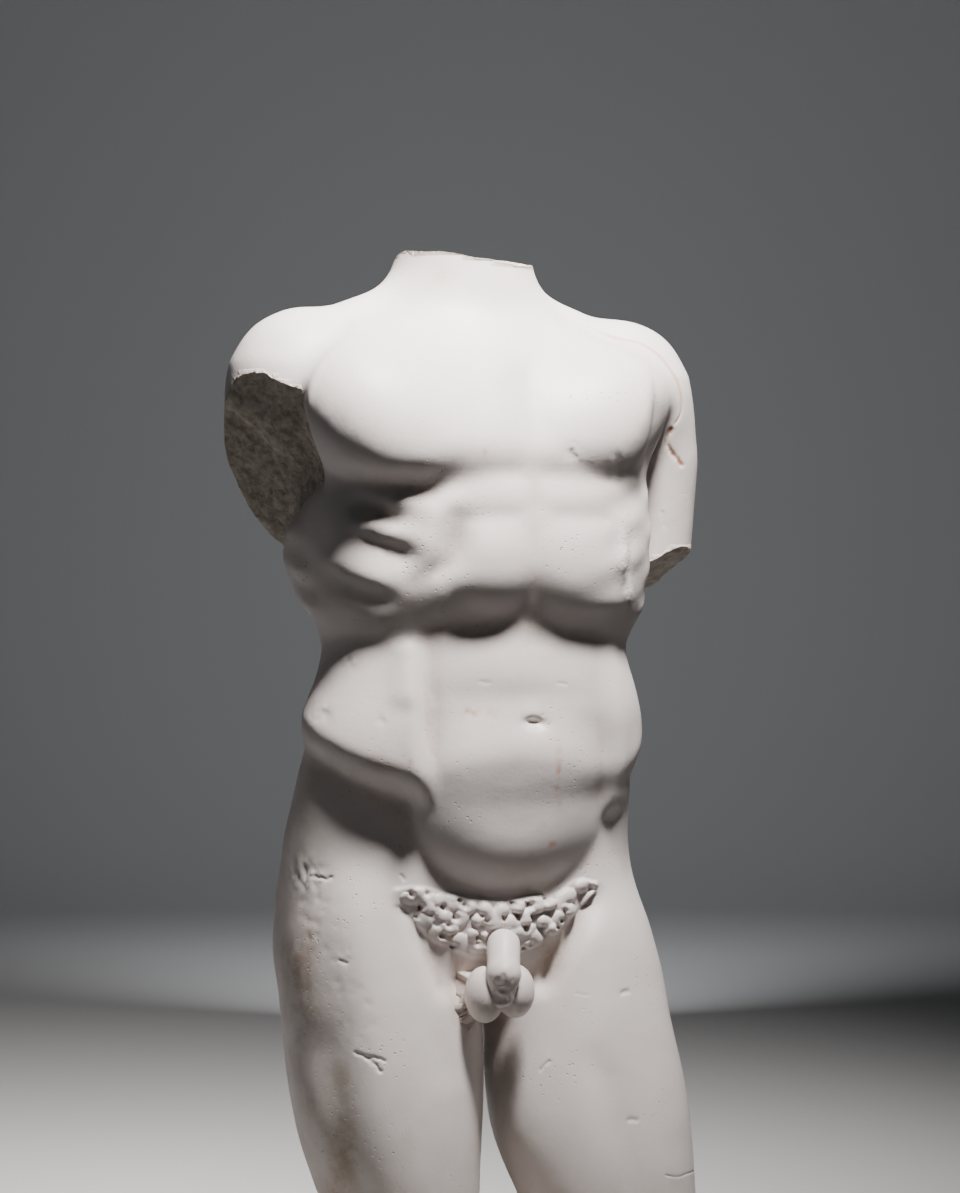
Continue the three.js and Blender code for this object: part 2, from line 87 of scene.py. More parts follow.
# Breaks: a point on the broken face and the direction it looks in.
NECK_BREAK = ((-4, 18, 1031), (0.10, -0.06, 1.0))
RIGHT_ARM_BREAK = ((-180, 30, 826), (-0.651, -0.492, -0.577))
LEFT_ARM_BREAK = ((236, 10, 756), (0.38, -0.39, -0.83))
WORN_TIP = ((-12, -117, 347), (-0.36, -0.86, -0.40))    # worn end of the shaft
STUB = 7                # how far the arms are first carved past their breaks
THIGH_CUT = 60.3        # height of the sawn face above the floor
ARM_CHANNELS = ((11, 7.0), (9, 4.0))    # depth and half width of the channel beside the right and left arm
CARVING_TURN = -22      # the front is laid out on a plane turned this far to the figure's right


# ---------------------------------------------------------------- blending and curves
def smooth_union(a, b, soft):
    """Joins two masses with a fillet."""
    h = np.clip(0.5 + 0.5 * (b - a) / soft, 0.0, 1.0)
    return b + (a - b) * h - soft * h * (1.0 - h)


def ramp(x, width):
    """Rises smoothly from 0 to 1 over a width."""
    t = np.clip(x / width, 0, 1)
    return t * t * (3 - 2 * t)


def roll(x, width, power=2.0, foot=8.0):
    """Rises from 0 like the edge of a cushion, steepest just above its rounded foot."""
    x = 0.5 * (x + np.sqrt(x * x + foot * foot))
    return 1 - (1 - np.clip(x / width, 0, 1)) ** power


def spline(knots, values, x):
    """Smooth curve through rising knots, held level past its ends."""
    knots, values = np.asarray(knots, float), np.asarray(values, float)
    n, gap = len(knots), np.diff(knots)
    matrix, right = np.eye(n), np.zeros(n)
    for i in range(1, n - 1):
        matrix[i, i - 1:i + 2] = gap[i - 1], 2 * (gap[i - 1] + gap[i]), gap[i]
        right[i] = 6 * ((values[i + 1] - values[i]) / gap[i] - (values[i] - values[i - 1]) / gap[i - 1])
    bend = np.linalg.solve(matrix, right)
    x = np.clip(x, knots[0], knots[-1])
    i = np.clip(np.searchsorted(knots, x, side="right") - 1, 0, n - 2)
    a, b, w = x - knots[i], knots[i + 1] - x, gap[i]
    return ((bend[i] * b**3 + bend[i + 1] * a**3) / (6 * w)
            + (values[i] / w - bend[i] * w / 6) * b + (values[i + 1] / w - bend[i + 1] * w / 6) * a)


def edge(points, x):
    """Height of a drawn edge line at x."""
    across, up = zip(*points)
    return spline(across, up, x)


def noise(P, size, seed):
    """Smooth random values from -1 to 1 with lumps of the given size."""
    table = np.random.default_rng(seed).uniform(-1, 1, 4096)
    cell = np.floor(P / size)
    part = P / size - cell
    part, cell = part * part * (3 - 2 * part), cell.astype(np.int64)
    total = np.zeros(len(P))
    for corner in range(8):
        o = np.array([corner >> 2 & 1, corner >> 1 & 1, corner & 1])
        share = np.prod(np.where(o, part, 1 - part), axis=1)
        key = ((cell + o) * np.array([73856093, 19349663, 83492791])).T
        total += share * table[(key[0] ^ key[1] ^ key[2]) & 4095]
    return total


# ---------------------------------------------------------------- masses: each gives a distance at the points P
def turned(P, tilt):
    """Points seen from a mass that is tilted by degrees about x, y and z."""
    x, y, z = P.T
    t = np.radians(tilt)
    c, s = np.cos(t), np.sin(t)
    x, y = c[2] * x + s[2] * y, -s[2] * x + c[2] * y
    x, z = c[1] * x - s[1] * z, s[1] * x + c[1] * z
    y, z = c[0] * y + s[0] * z, -s[0] * y + c[0] * z
    return np.stack([x, y, z], 1)


def egg(P, centre, radii, tilt=(0, 0, 0)):
    p = turned(P - np.array(centre, float), tilt)
    r = np.sqrt((p * p).sum(1))
    return r - r / np.maximum(np.sqrt(((p / radii) ** 2).sum(1)), 1e-6)


def bar(P, a, b, ra, rb):
    a, b = np.array(a, float), np.array(b, float)
    d = b - a
    t = np.clip(((P - a) @ d) / (d @ d), 0, 1)
    return np.sqrt(((P - a - t[:, None] * d) ** 2).sum(1)) - (ra + (rb - ra) * t)


def column(P, rows, power=2.3):
    """A limb or trunk swept through its cross-sections."""
    level, cx, cy, half, front, back = np.array(sorted(rows), float).T
    z = P[:, 2]
    x, y = P[:, 0] - spline(level, cx, z), P[:, 1] - spline(level, cy, z)
    depth = np.where(y < 0, spline(level, front, z), spline(level, back, z))
    q = (np.abs(x / spline(level, half, z)) ** power + np.abs(y / depth) ** power) ** (1 / power)
    r = np.hypot(x, y)
    d = r - r / np.maximum(q, 1e-4)
    past = np.maximum(level[0] - z, z - level[-1])
    return np.where(past > 0, np.hypot(np.maximum(d, 0), past), np.maximum(d, past))


def past_break(P, broken):
    """Height above a broken face, positive on the side that was lost."""
    at, looks = np.array(broken[0], float), np.array(broken[1], float)
    return (P - at) @ (looks / np.linalg.norm(looks))


def right_arm(P):
    return smooth_union(column(P, RIGHT_ARM, 2.1), egg(P, (-170, 18, 910), (62, 62, 68), (0, 12, 0)), 24)


def left_arm(P):
    return smooth_union(column(P, LEFT_ARM, 2.1), egg(P, (171, 18, 907), (60, 62, 68), (0, -12, 0)), 24)


def arms(P):
    """Both arms, ended a little past their breaks."""
    right = np.maximum(right_arm(P), past_break(P, RIGHT_ARM_BREAK) - STUB)
    return np.minimum(right, np.maximum(left_arm(P), past_break(P, LEFT_ARM_BREAK) - STUB))


def trunk(P):
    """Neck, shoulders, chest, back and hips, without the arms and legs."""
    d = column(P, TRUNK, 2.35)
    for side, foot in ((-1, 938), (1, 935)):
        d = smooth_union(d, bar(P, (side * 17, 28, 978), (side * 150, 24, foot), 44, 36), 30)
    d = smooth_union(d, column(P, NECK, 2.1), 38)
    for side in (-1, 1):
        chest = egg(P, (2 + side * 104, -26, 884), (82, 66, 60), (0, -side * 17, -side * 10))
        broad_back = egg(P, (3 + side * 102, 44, 810), (58, 60, 118), (0, -side * 8, 0))
        blade = egg(P, (2 + side * 84, 70, 894), (64, 38, 70), (0, 0, side * 12))
        d = smooth_union(smooth_union(smooth_union(d, chest, 34), broad_back, 30), blade, 30)
    return d


def legs(P):
    return smooth_union(column(P, RIGHT_THIGH, 2.15), column(P, LEFT_THIGH, 2.15), 9)


def masses(P):
    """The whole figure but the loins, before any carving or breaking."""
    body, limbs, z = trunk(P), arms(P), P[:, 2]
    d = smooth_union(smooth_union(body, limbs, 3 + 17 * ramp(z - 825, 75)), legs(P), 24)
    seat = smooth_union(egg(P, (-80, 58, 414), (88, 74, 92)), egg(P, (72, 56, 402), (84, 70, 88)), 8)
    return smooth_union(d, seat, 20)


def manhood(P):
    shaft = bar(P, (0, -84, 383), (-9, -106, 358), 15.5, 15)
    shaft = smooth_union(shaft, bar(P, (-9, -106, 358), (-10, -106, 339), 15, 11), 5)
    worn_tip = past_break(P, WORN_TIP) + 1.4 * noise(P, 5, 41)
    shaft = -smooth_union(-shaft, -worn_tip, 2)
    sac = smooth_union(egg(P, (-19, -84, 338), (18, 23, 26)), egg(P, (11, -85, 340), (18, 22, 25)), 5)
    return smooth_union(shaft, sac, 2.5)


def figure(P):
    return smooth_union(masses(P), manhood(P), 5)


def channelled(P):
    """The figure with a channel drilled between each arm and the body, down to the breaks."""
    body, d, low = trunk(P), figure(P), 1 - ramp(P[:, 2] - 838, 50)
    sides = ((right_arm, RIGHT_ARM_BREAK), (left_arm, LEFT_ARM_BREAK))
    for (arm, broken), (depth, width) in zip(sides, ARM_CHANNELS):
        kept = 1 - ramp(past_break(P, broken) + 4, 8)
        d += depth * np.exp(-(((body - arm(P)) / width) ** 2)) * low * kept
    return d


# ---------------------------------------------------------------- strokes of carving on a plane (u across, z up)
def local(u, z, centre, angle):
    t = math.radians(angle)
    du, dz = u - centre[0], z - centre[1]
    return du * math.cos(t) + dz * math.sin(t), -du * math.sin(t) + dz * math.cos(t)


def cushion(u, z, centre, radii, angle, rise, square=2.2, fall=1.3):
    a, b = local(u, z, centre, angle)
    q = (np.abs(a / radii[0]) ** square + np.abs(b / radii[1]) ** square) ** (1 / square)
    return rise * np.clip(1 - q * q, 0, 1) ** fall


def mound(u, z, centre, radii, angle, rise):
    a, b = local(u, z, centre, angle)
    return rise * np.exp(-((a / radii[0]) ** 2) - (b / radii[1]) ** 2)


def rounded(path, least=24):
    """A path with its corners cut until it is smooth."""
    p = np.array(path, float)
    while len(p) < least and len(path) > 2:
        near, far = p[:-1] * 0.75 + p[1:] * 0.25, p[:-1] * 0.25 + p[1:] * 0.75
        p = np.concatenate([p[:1], np.stack([near, far], 1).reshape(-1, 2), p[-1:]])
    return p


def along(u, z, path):
    """Distance to a path, and how far along it the nearest place is."""
    best, share = np.full(len(u), 1e9), np.zeros(len(u))
    lengths = np.hypot(*np.diff(path, axis=0).T)
    total, run = lengths.sum(), 0.0
    for a, b, length in zip(path[:-1], path[1:], lengths):
        d = b - a
        t = np.clip(((u - a[0]) * d[0] + (z - a[1]) * d[1]) / length**2, 0, 1)
        r = np.hypot(u - a[0] - t * d[0], z - a[1] - t * d[1])
        near = r < best
        best, share = np.where(near, r, best), np.where(near, (run + t * length) / total, share)
        run += length
    return best, share


def ridge(u, z, path, width, rise, taper=0.25):
    path = rounded(path)
    reach = 3 * width
    near = ((u > path[:, 0].min() - reach) & (u < path[:, 0].max() + reach)
            & (z > path[:, 1].min() - reach) & (z < path[:, 1].max() + reach))
    h = np.zeros(len(u))
    r, s = along(u[near], z[near], path)
    h[near] = rise * np.exp(-((r / width) ** 2)) * (ramp(s, taper) * ramp(1 - s, taper) if taper else 1)
    return h


def furrow(u, z, path, width, depth, taper=0.25):
    return ridge(u, z, path, width, -depth, taper)


# ---------------------------------------------------------------- the front of the body
BREAST_EDGE = [(-165, 872), (-144, 846), (-126, 829), (-108, 819), (-92, 814), (-55, 806), (-26, 809),
               (4, 815),
               (34, 822), (52, 828), (66, 822), (93, 816), (130, 812), (146, 818), (159, 843), (170, 884)]
RIB_EDGE = [(-165, 662), (-137, 661), (-118, 667), (-74, 667), (-44, 674), (-26, 680), (7, 681), (40, 688),
            (52, 692), (64, 687), (85, 677), (122, 669), (141, 659), (155, 655)]
RIGHT_HIP_EDGE = [(-185, 582), (-153, 568), (-118, 545), (-80, 529), (-62, 523), (-45, 515), (-30, 508)]
LEFT_HIP_EDGE = [(105, 500), (122, 498), (140, 501), (165, 508)]


def breast(u, z):
    outer = ramp(np.abs(u - 52), 125)
    h = (16 + 18 * outer) * roll(z - edge(BREAST_EDGE, u), 34 + 24 * outer, 2.0) * ramp(1000 - z, 185)
    h += furrow(u, z, [(52, 826), (51, 880), (46, 940)], 15, 5, 0.3)
    return h + mound(u, z, (-44, 862), (62, 32), 8, 4) + mound(u, z, (112, 862), (46, 32), -8, 4)


def stomach_blocks(u, z):
    h = cushion(u, z, (15, 738), (40, 48), 0, 8) + cushion(u, z, (94, 738), (43, 48), -4, 8)
    h += cushion(u, z, (14, 801), (46, 22), 5, 5) + cushion(u, z, (98, 801), (48, 22), -5, 5)
    return h + furrow(u, z, [(53, 822), (54, 760), (54, 690)], 9, 2.4, 0.2)


def ribcage(u, z):
    h = 24 * roll(z - edge(RIB_EDGE, u), 52, 2.0, 10) * ramp(930 - z, 190)
    h += mound(u, z, (-14, 754), (11, 21), -12, -7) + mound(u, z, (-32, 733), (18, 9), 28, -3)
    h += ridge(u, z, [(0, 806), (-30, 790), (-40, 756), (-52, 716)], 11, 4)
    for centre, radii, angle, rise in (((-66, 797), (30, 11), -18, 4), ((-76, 771), (30, 9), -22, 4),
                                       ((-115, 743), (14, 9), -20, 3), ((-84, 727), (22, 10), -22, 4),
                                       ((136, 776), (14, 18), 0, -3)):
        h += mound(u, z, centre, radii, angle, rise)
    for path, depth in (([(-108, 794), (-80, 784), (-52, 772)], 5),
                        ([(-112, 768), (-72, 753), (-38, 734)], 5.5),
                        ([(-128, 728), (-94, 712), (-58, 702)], 3)):
        h += furrow(u, z, path, 11, depth, 0.3)
    return h + ridge(u, z, [(124, 800), (142, 756), (138, 706)], 12, 4)


def hip_muscles(u, z):
    h = 28 * roll(z - edge(RIGHT_HIP_EDGE, u), 34, 2.0, 5) * ramp(704 - z, 160) * ramp(-32 - u, 24)
    h += 25 * roll(z - edge(LEFT_HIP_EDGE, u), 28, 2.0, 5) * ramp(690 - z, 150) * ramp(u - 114, 18)
    return h + ridge(u, z, [(-60, 676), (-58, 640), (-60, 600)], 13, 4)


def belly(u, z):
    aside, down = np.abs(u - 36) / 93, np.clip(524 - z, 0, None) / 92
    inside = (1 - (aside**2.2 + down**2.2) ** (1 / 2.2)) * 92
    top = z + 26 * np.minimum(1, aside) ** 2
    h = 31 * roll(inside, 60, 2.1, 4) * (0.5 * (1 - ramp(top - 558, 54)) + 0.5 * (1 - ramp(top - 566, 124)))
    h += mound(u, z, (36, 652), (78, 26), 0, 3) + mound(u, z, (44, 616), (80, 12), 0, -2)
    h += mound(u, z, (54, 593), (8, 4.4), -6, -8) + mound(u, z, (54, 592), (16, 9), 0, -2)
    return h + furrow(u, z, [(54, 700), (54, 640), (53, 600)], 9, 1.8, 0.2)


def groin(u, z):
    h = mound(u, z, (28, 404), (58, 30), 0, 9)
    h += furrow(u, z, [(-64, 438), (-54, 415), (-40, 388), (-26, 360), (-10, 328)], 12, 12, 0.2)
    return h + furrow(u, z, [(120, 440), (108, 414), (94, 388), (76, 364), (58, 330)], 12, 12, 0.2)


def thigh_front(u, z):
    h = ridge(u, z, [(-112, 470), (-92, 330), (-62, 160), (-48, 60)], 32, 7, 0.15)
    h += furrow(u, z, [(-58, 420), (-36, 330), (-14, 240)], 20, 4, 0.2)
    h += furrow(u, z, [(-146, 330), (-126, 220), (-104, 110)], 22, 5, 0.2)
    h += ridge(u, z, [(116, 440), (128, 330), (116, 200), (108, 60)], 32, 6, 0.15)
    return h + furrow(u, z, [(110, 300), (140, 220), (160, 130), (158, 60)], 16, 4, 0.2)


def front(u, z):
    return (breast(u, z) + stomach_blocks(u, z) + ribcage(u, z) + hip_muscles(u, z) + belly(u, z)
            + groin(u, z) + thigh_front(u, z))


# ---------------------------------------------------------------- the sides and the back; v runs towards the back
SIDE_RIB_EDGE = [(-80, 668), (-40, 664), (0, 662), (60, 690), (100, 740)]
RIGHT_SIDE_HIP = [(-110, 545), (-60, 562), (0, 580), (50, 590), (110, 580)]
LEFT_SIDE_HIP = [(-110, 516), (-60, 520), (0, 532), (50, 556), (110, 566)]


def flank(v, z, hip_edge, rise):
    h = rise * roll(z - edge(hip_edge, v), 34) * ramp(688 - z, 100) * ramp(150 - v, 110)
    h += 14 * roll(z - edge(SIDE_RIB_EDGE, v), 46, 2.1) * ramp(930 - z, 190) * ramp(100 - v, 90)
    for n in range(4):
        h += mound(v, z, (-34 - 3 * n, 812 - 36 * n), (26, 11), 24, 5)
        h += ridge(v, z, [(-10, 796 - 36 * n), (30, 812 - 34 * n), (60, 832 - 32 * n)], 9, 2)
    h += mound(v, z, (22, 446), (34, 40), 0, -7)
    h += ridge(v, z, [(-30, 520), (-34, 440), (-12, 330)], 24, 4)
    return h + furrow(v, z, [(34, 360), (30, 240), (26, 110)], 20, 3)


def back(u, z):
    h = furrow(u, z, [(0, 1000), (-2, 900), (-6, 780), (-6, 640), (0, 520), (4, 470)], 15, 9, 0.12)
    for s in (-1, 1):
        h += ridge(u, z, [(s * 26, 760), (s * 30, 640), (s * 24, 530)], 20, 5)
        h += furrow(u, z, [(s * 38, 920), (s * 56, 870), (s * 84, 822), (s * 128, 800)], 14, 5)
        h += ridge(u, z, [(s * 46, 960), (s * 90, 945), (s * 140, 938)], 16, 5)
        h += mound(u, z, (s * 40, 490), (12, 12), 0, -3)
        h += furrow(u, z, [(s * 10, 316), (s * 50, 320), (s * 100, 336)], 12, 5)
        h += furrow(u, z, [(s * 130, 560), (s * 92, 540), (s * 56, 505)], 22, 4)
        h += furrow(u, z, [(s * 88, 290), (s * 92, 200), (s * 84, 100)], 20, 3)
    return h + furrow(u, z, [(4, 480), (3, 420), (2, 340)], 10, 9, 0.2)


def oblique(P, azimuth):
    a = math.radians(azimuth)
    return P[:, 0] * math.cos(a) + P[:, 1] * math.sin(a)


def facing(N, azimuth):
    a = math.radians(azimuth)
    return N[:, 0] * math.sin(a) - N[:, 1] * math.cos(a)


def carving(P, N):
    """Height of the muscles over the plain masses, blended between front, back and sides."""
    z = P[:, 2]
    sheets = [
        (CARVING_TURN, front(oblique(P, CARVING_TURN), z)),
        (180, back(oblique(P, 180), z)),
        (CARVING_TURN - 90, flank(-oblique(P, CARVING_TURN - 90), z, RIGHT_SIDE_HIP, 15)),
        (CARVING_TURN + 90, flank(oblique(P, CARVING_TURN + 90), z, LEFT_SIDE_HIP, 17)),
    ]
    share = [np.clip(facing(N, azimuth) + 0.1, 0, None) ** 2 + 1e-9 for azimuth, _ in sheets]
    h = sum(w * height for w, (_, height) in zip(share, sheets)) / sum(share)
    mass = masses(P)
    h *= ramp(arms(P) - mass, 16) * ramp(1012 - z, 40)
    return h * ramp(manhood(P) - mass, 6)


# ---------------------------------------------------------------- fine carving and damage on the front
CURLS_TOP = [(-66, 436), (-46, 437), (-15, 428), (7, 425), (39, 422), (56, 425), (83, 428), (97, 438),
             (116, 436)]
CURLS_FOOT = [(-66, 424), (-56, 416), (-46, 401), (-24, 386), (-2, 375), (16, 371), (47, 377), (70, 387),
              (88, 401),
              (106, 419), (116, 430)]
SHOULDER_JOIN = [(111, 974), (132, 958), (152, 954), (164, 952), (181, 941), (190, 930), (200, 915),
                 (205, 895),
                 (203, 881), (195, 871)]
SHOULDER_STAIN = [(196, 872), (190, 862), (190, 852), (198, 843), (207, 832)]
THIGH_JOIN = [(184, 164), (196, 160), (206, 162), (214, 161)]
NICKS = [  # path, half width, depth
    ([(-142, 448), (-136, 446), (-128, 447)], 1.3, 1.8),
    ([(-104, 288), (-92, 285), (-79, 282)], 1.7, 2.6),
    ([(-94, 284), (-88, 279), (-82, 272)], 1.9, 2.6),
    ([(-64, 450), (-61, 446)], 1.5, 2.0),
    ([(-33, 404), (-31, 401)], 1.5, 2.5),
    ([(144, 334), (149, 335)], 2.2, 2.2),
    ([(100, 335), (112, 333)], 0.9, 0.8),
    ([(75, 272), (70, 268), (66, 264)], 1.4, 1.6),
    ([(150, 218), (156, 217)], 2.4, 1.6),
    ([(90, 848), (94, 842), (98, 838)], 2.2, 1.6),
    ([(83, 628), (90, 626)], 1.4, 0.7),
    ([(10, 629), (18, 628)], 1.6, 0.7),
    ([(-120, 372), (-113, 370)], 1.4, 1.6),
    ([(134, 842), (140, 836), (138, 828)], 2.6, 1.2),
    ([(186, 790), (188, 776)], 1.4, 0.8),
]
WORN_BAND = [(-160, 440), (-136, 405), (-134, 381), (-112, 360), (-104, 330), (-94, 300)]
ROUGH_PATCHES = [((-113, 648), (9, 7)), ((-134, 600), (10, 12)), ((-80, 594), (5, 4)),
                 ((-150, 448), (16, 14)),
                 ((94, 843), (6, 8)), ((142, 690), (4, 8))]
STRUT = [((144, 748), (5, 22)), ((151, 712), (4, 11))]
RUST = [((-57, 558), (4, 3)), ((12, 600), (14, 2.2)), ((-2, 603), (3, 2)), ((27, 598), (3, 2)),
        ((82, 552), (1.6, 16)),
        ((83, 524), (2.4, 10)), ((66, 495), (2.5, 3)), ((78, 476), (3, 2)), ((58, 468), (2, 1.6)),
        ((18, 840), (5, 3))]
# Brown patches on the front (centre, half sizes, share): patina on the thighs and a stain at the neck; painted
# shade under the breast and the rib arch, in the right hip fold, under the belly, beside the loins and between
# the thighs; on the outer right thigh patina and painted shade together.
PATINA_AND_SHADE = [((-156, 360), (24, 150), 0.9), ((-118, 200), (16, 110), 0.85), ((-60, 190), (14, 80), 0.3),
          ((-84, 768), (30, 16), 0.3), ((-56, 866), (26, 20), 0.3), ((-92, 814), (46, 9), 0.5),
          ((-100, 548), (58, 15), 0.6), ((-30, 1008), (16, 14), 0.4), ((-20, 372), (26, 30), 0.6),
          ((78, 372), (22, 26), 0.6), ((26, 300), (22, 70), 0.5), ((-80, 690), (70, 16), 0.35),
          ((60, 452), (50, 18), 0.25), ((140, 812), (12, 16), 0.35)]


def curls(u, z, rise):
    """Comma-shaped curls with drilled hollows between them, along a crescent under the belly."""
    rng = np.random.default_rng(7)
    near = (u > -76) & (u < 126) & (z > 355) & (z < 452)
    a, b = u[near], z[near]
    band = ramp(edge(CURLS_TOP, a) + 4 - b, 5) * ramp(b - edge(CURLS_FOOT, a) + 5, 5)
    band *= ramp(a + 74, 8) * ramp(124 - a, 8)
    lump, drilled = np.zeros(len(a)), np.zeros(len(a))
    for middle in np.arange(-60, 118, 15.0):
        top, foot = (edge(line, np.array([middle]))[0] for line in (CURLS_TOP, CURLS_FOOT))
        rows = max(1, round((top - foot) / 13))
        worn = 0.5 + 0.5 * ramp(middle + 25, 50)
        for row in range(rows):
            at = np.array([middle + rng.uniform(-3, 3) + 7 * (row % 2),
                           top - (row + 0.5) * (top - foot) / rows])
            heading, bend = rng.uniform(0, 2 * math.pi), rng.choice([-1, 1])
            size, height = rng.uniform(0.8, 1.25), worn * rise * rng.uniform(0.65, 1.15)
            side = heading + 1.3 * bend
            hole = at + 6.5 * size * np.array([math.cos(side), math.sin(side)])
            drilled = np.maximum(drilled, mound(a, b, hole, (2.4, 2.4), 0, rng.uniform(0.3, 1)))
            for step in range(9):
                reach = size * (6.2 - 0.32 * step)
                r = np.hypot(a - at[0], b - at[1]) / reach
                lump = np.maximum(lump, height * (1 - 0.045 * step) * np.sqrt(np.clip(1 - r * r, 0, None)))
                at = at + 1.7 * size * np.array([math.cos(heading), math.sin(heading)])
                heading += 0.27 * bend
    h = np.zeros(len(u))
    h[near] = band * (1.5 + lump - 0.9 * rise * drilled)
    return h


def pits(u, z, seed, count, centre_line, spread, sizes, depth):
    """Scattered little holes along a line."""
    rng = np.random.default_rng(seed)
    h, line = np.zeros(len(u)), rounded(centre_line, 20)
    for _ in range(count):
        at = line[rng.integers(len(line))] + rng.normal(0, 1, 2) * spread
        size = rng.uniform(*sizes)
        near = (np.abs(u - at[0]) < 2.5 * size) & (np.abs(z - at[1]) < 2.5 * size)
        h[near] -= mound(u[near], z[near], at, (size, size * rng.uniform(0.5, 1.1)), rng.uniform(0, 180),
                         depth * rng.uniform(0.4, 1))
    return h


def damage(P, u, z, depth):
    """Nicks, rough patches, pits and the joined cracks."""
    h, ragged = np.zeros(len(u)), (u + 1.1 * noise(P, 4, 23), z + 1.1 * noise(P, 4, 24))
    for path, width, deep in NICKS:
        h += furrow(*ragged, path, width, 0.6 * deep, 0)
    h += furrow(u, z, SHOULDER_JOIN, 1.0, 0.8, 0.05) + furrow(u, z, SHOULDER_STAIN, 2.2, 1.2, 0.1)
    h += furrow(u, z, THIGH_JOIN, 0.9, 0.7, 0)
    h += pits(u, z, 3, 40, WORN_BAND, (8, 12), (2.6, 4.2), 0.5)
    h += pits(u, z, 4, 20, [(-60, 860), (0, 560), (60, 860)], (60, 160), (1.6, 2.4), 0.5)
    h += pits(u, z, 5, 24, [(-120, 400), (-60, 120)], (34, 60), (1.6, 2.6), 0.6)
    h += pits(u, z, 6, 20, [(100, 400), (140, 120)], (34, 60), (1.6, 2.6), 0.6)
    rough = 0.7 * noise(P, 6, 21) + 0.5 * noise(P, 3.2, 22) - 0.25
    for centre, radii in ROUGH_PATCHES:
        h += mound(u, z, centre, radii, 0, 1.5) * rough
    for centre, radii in STRUT:
        h += mound(u, z, centre, radii, 0, 1) * (2.5 + 3.5 * rough)
    return h * depth


# ---------------------------------------------------------------- skin over a mass
CORNERS = np.array([[i >> 2 & 1, i >> 1 & 1, i & 1] for i in range(8)])
SIDES = [(a, a | bit) for a in range(8) for bit in (1, 2, 4) if not a & bit]


def grid_lines(low, high, step):
    """Grid lines from low to high, each step given by the place it starts from."""
    lines = [low]
    while lines[-1] < high:
        lines.append(lines[-1] + step(lines[-1]))
    return np.array(lines, float)


def closed_up(value):
    """Fills the grid squares that only two opposite corners of lie inside, so the skin never touches
    itself."""
    while True:
        filled = 0
        for axes in ((0, 1, 2), (1, 2, 0), (2, 0, 1)):
            turned_value = value.transpose(axes)
            corners = [turned_value[i:len(turned_value) - 1 + i, j:turned_value.shape[1] - 1 + j]
                       for i, j in ((0, 0), (1, 1), (0, 1), (1, 0))]
            a, b, c, d = (corner < 0 for corner in corners)
            pinched = (a == b) & (c == d) & (a != c)
            for corner in corners:
                corner[pinched & (corner >= 0)] = -0.01
            filled += pinched.sum()
        if filled == 0:
            return value


def skin(mass, lines):
    """One vertex in each crossed cell and one quad over each crossed grid edge."""
    grid = np.stack(np.meshgrid(*lines, indexing="ij"), -1).reshape(-1, 3)
    value = np.concatenate([mass(part) for part in np.array_split(grid, 12)])
    value = closed_up(value.reshape([len(x) for x in lines]))
    inside = value < 0
    n = np.array(value.shape) - 1
    cut = [inside[i:n[0] + i, j:n[1] + j, k:n[2] + k] for i, j, k in CORNERS]
    full = sum(c.astype(np.int8) for c in cut)
    crossed = (full > 0) & (full < 8)
    cells = np.argwhere(crossed)
    number = np.full(crossed.shape, -1)
    number[crossed] = np.arange(len(cells))
    place = [np.stack([lines[a][cells[:, a] + o[a]] for a in range(3)], 1) for o in CORNERS]
    at = [value[tuple((cells + o).T)] for o in CORNERS]
    total, hits = np.zeros((len(cells), 3)), np.zeros(len(cells))
    for a, b in SIDES:
        hit = (at[a] < 0) != (at[b] < 0)
        t = np.where(hit, at[a] / np.where(hit, at[a] - at[b], 1), 0)[:, None]
        total += np.where(hit[:, None], place[a] + t * (place[b] - place[a]), 0)
        hits += hit
    quads = []
    for axis in range(3):
        first, second = [slice(1, -1)] * 3, [slice(1, -1)] * 3
        first[axis], second[axis] = slice(0, -1), slice(1, None)
        a, b = inside[tuple(first)], inside[tuple(second)]
        base = np.argwhere(a != b) + (np.arange(3) != axis)
        p, q = np.eye(3, dtype=int)[[(axis + 1) % 3, (axis + 2) % 3]]
        ring = np.stack([number[tuple((base - o).T)] for o in (p + q, q, 0 * p, p)], 1)
        ring[~a[a != b]] = ring[~a[a != b]][:, ::-1]
        quads.append(ring)
    return total / hits[:, None], np.concatenate(quads)


def subdivided(points, quads):
    """Each quad split in four."""
    sides = np.sort(np.stack([quads, np.roll(quads, -1, 1)], 2).reshape(-1, 2), 1)
    sides, which = np.unique(sides, axis=0, return_inverse=True)
    middle = len(points) + which.reshape(-1, 4)
    centre = len(points) + len(sides) + np.arange(len(quads))
    points = np.concatenate([points, points[sides].mean(1), points[quads].mean(1)])
    parts = [np.stack([quads[:, i], middle[:, i], centre, middle[:, i - 1]], 1) for i in range(4)]
    return points, np.concatenate(parts)


def slope(mass, P, e=0.4):
    """Gradient from four points round each place."""
    corners = np.array([[1, 1, 1], [1, -1, -1], [-1, 1, -1], [-1, -1, 1]], float)
    return sum(c * mass(P + e * c)[:, None] for c in corners) / (4 * e)


def settled(mass, P, passes=3):
    """Points pulled onto the surface of a mass."""
    P = P.copy()
    for _ in range(passes):
        g = slope(mass, P)
        step = mass(P) / np.maximum((g * g).sum(1), 0.2)
        P -= np.clip(step, -3, 3)[:, None] * g
    return P


# ---------------------------------------------------------------- meshes in Blender
def mesh_from(name, points, faces, scale=MM):
    mesh = bpy.data.meshes.new(name)
    mesh.from_pydata((points * scale).tolist(), [], [list(map(int, f)) for f in faces])
    mesh.update()
    return mesh


def show(name, mesh):
    piece = bpy.data.objects.new(name, mesh)
    bpy.context.scene.collection.objects.link(piece)
    return piece


def points_of(mesh):
    flat = np.empty(len(mesh.vertices) * 3)
    mesh.vertices.foreach_get("co", flat)
    return flat.reshape(-1, 3) / MM


def normals_of(mesh):
    flat = np.empty(len(mesh.vertices) * 3)
    mesh.vertex_normals.foreach_get("vector", flat)
    return flat.reshape(-1, 3)


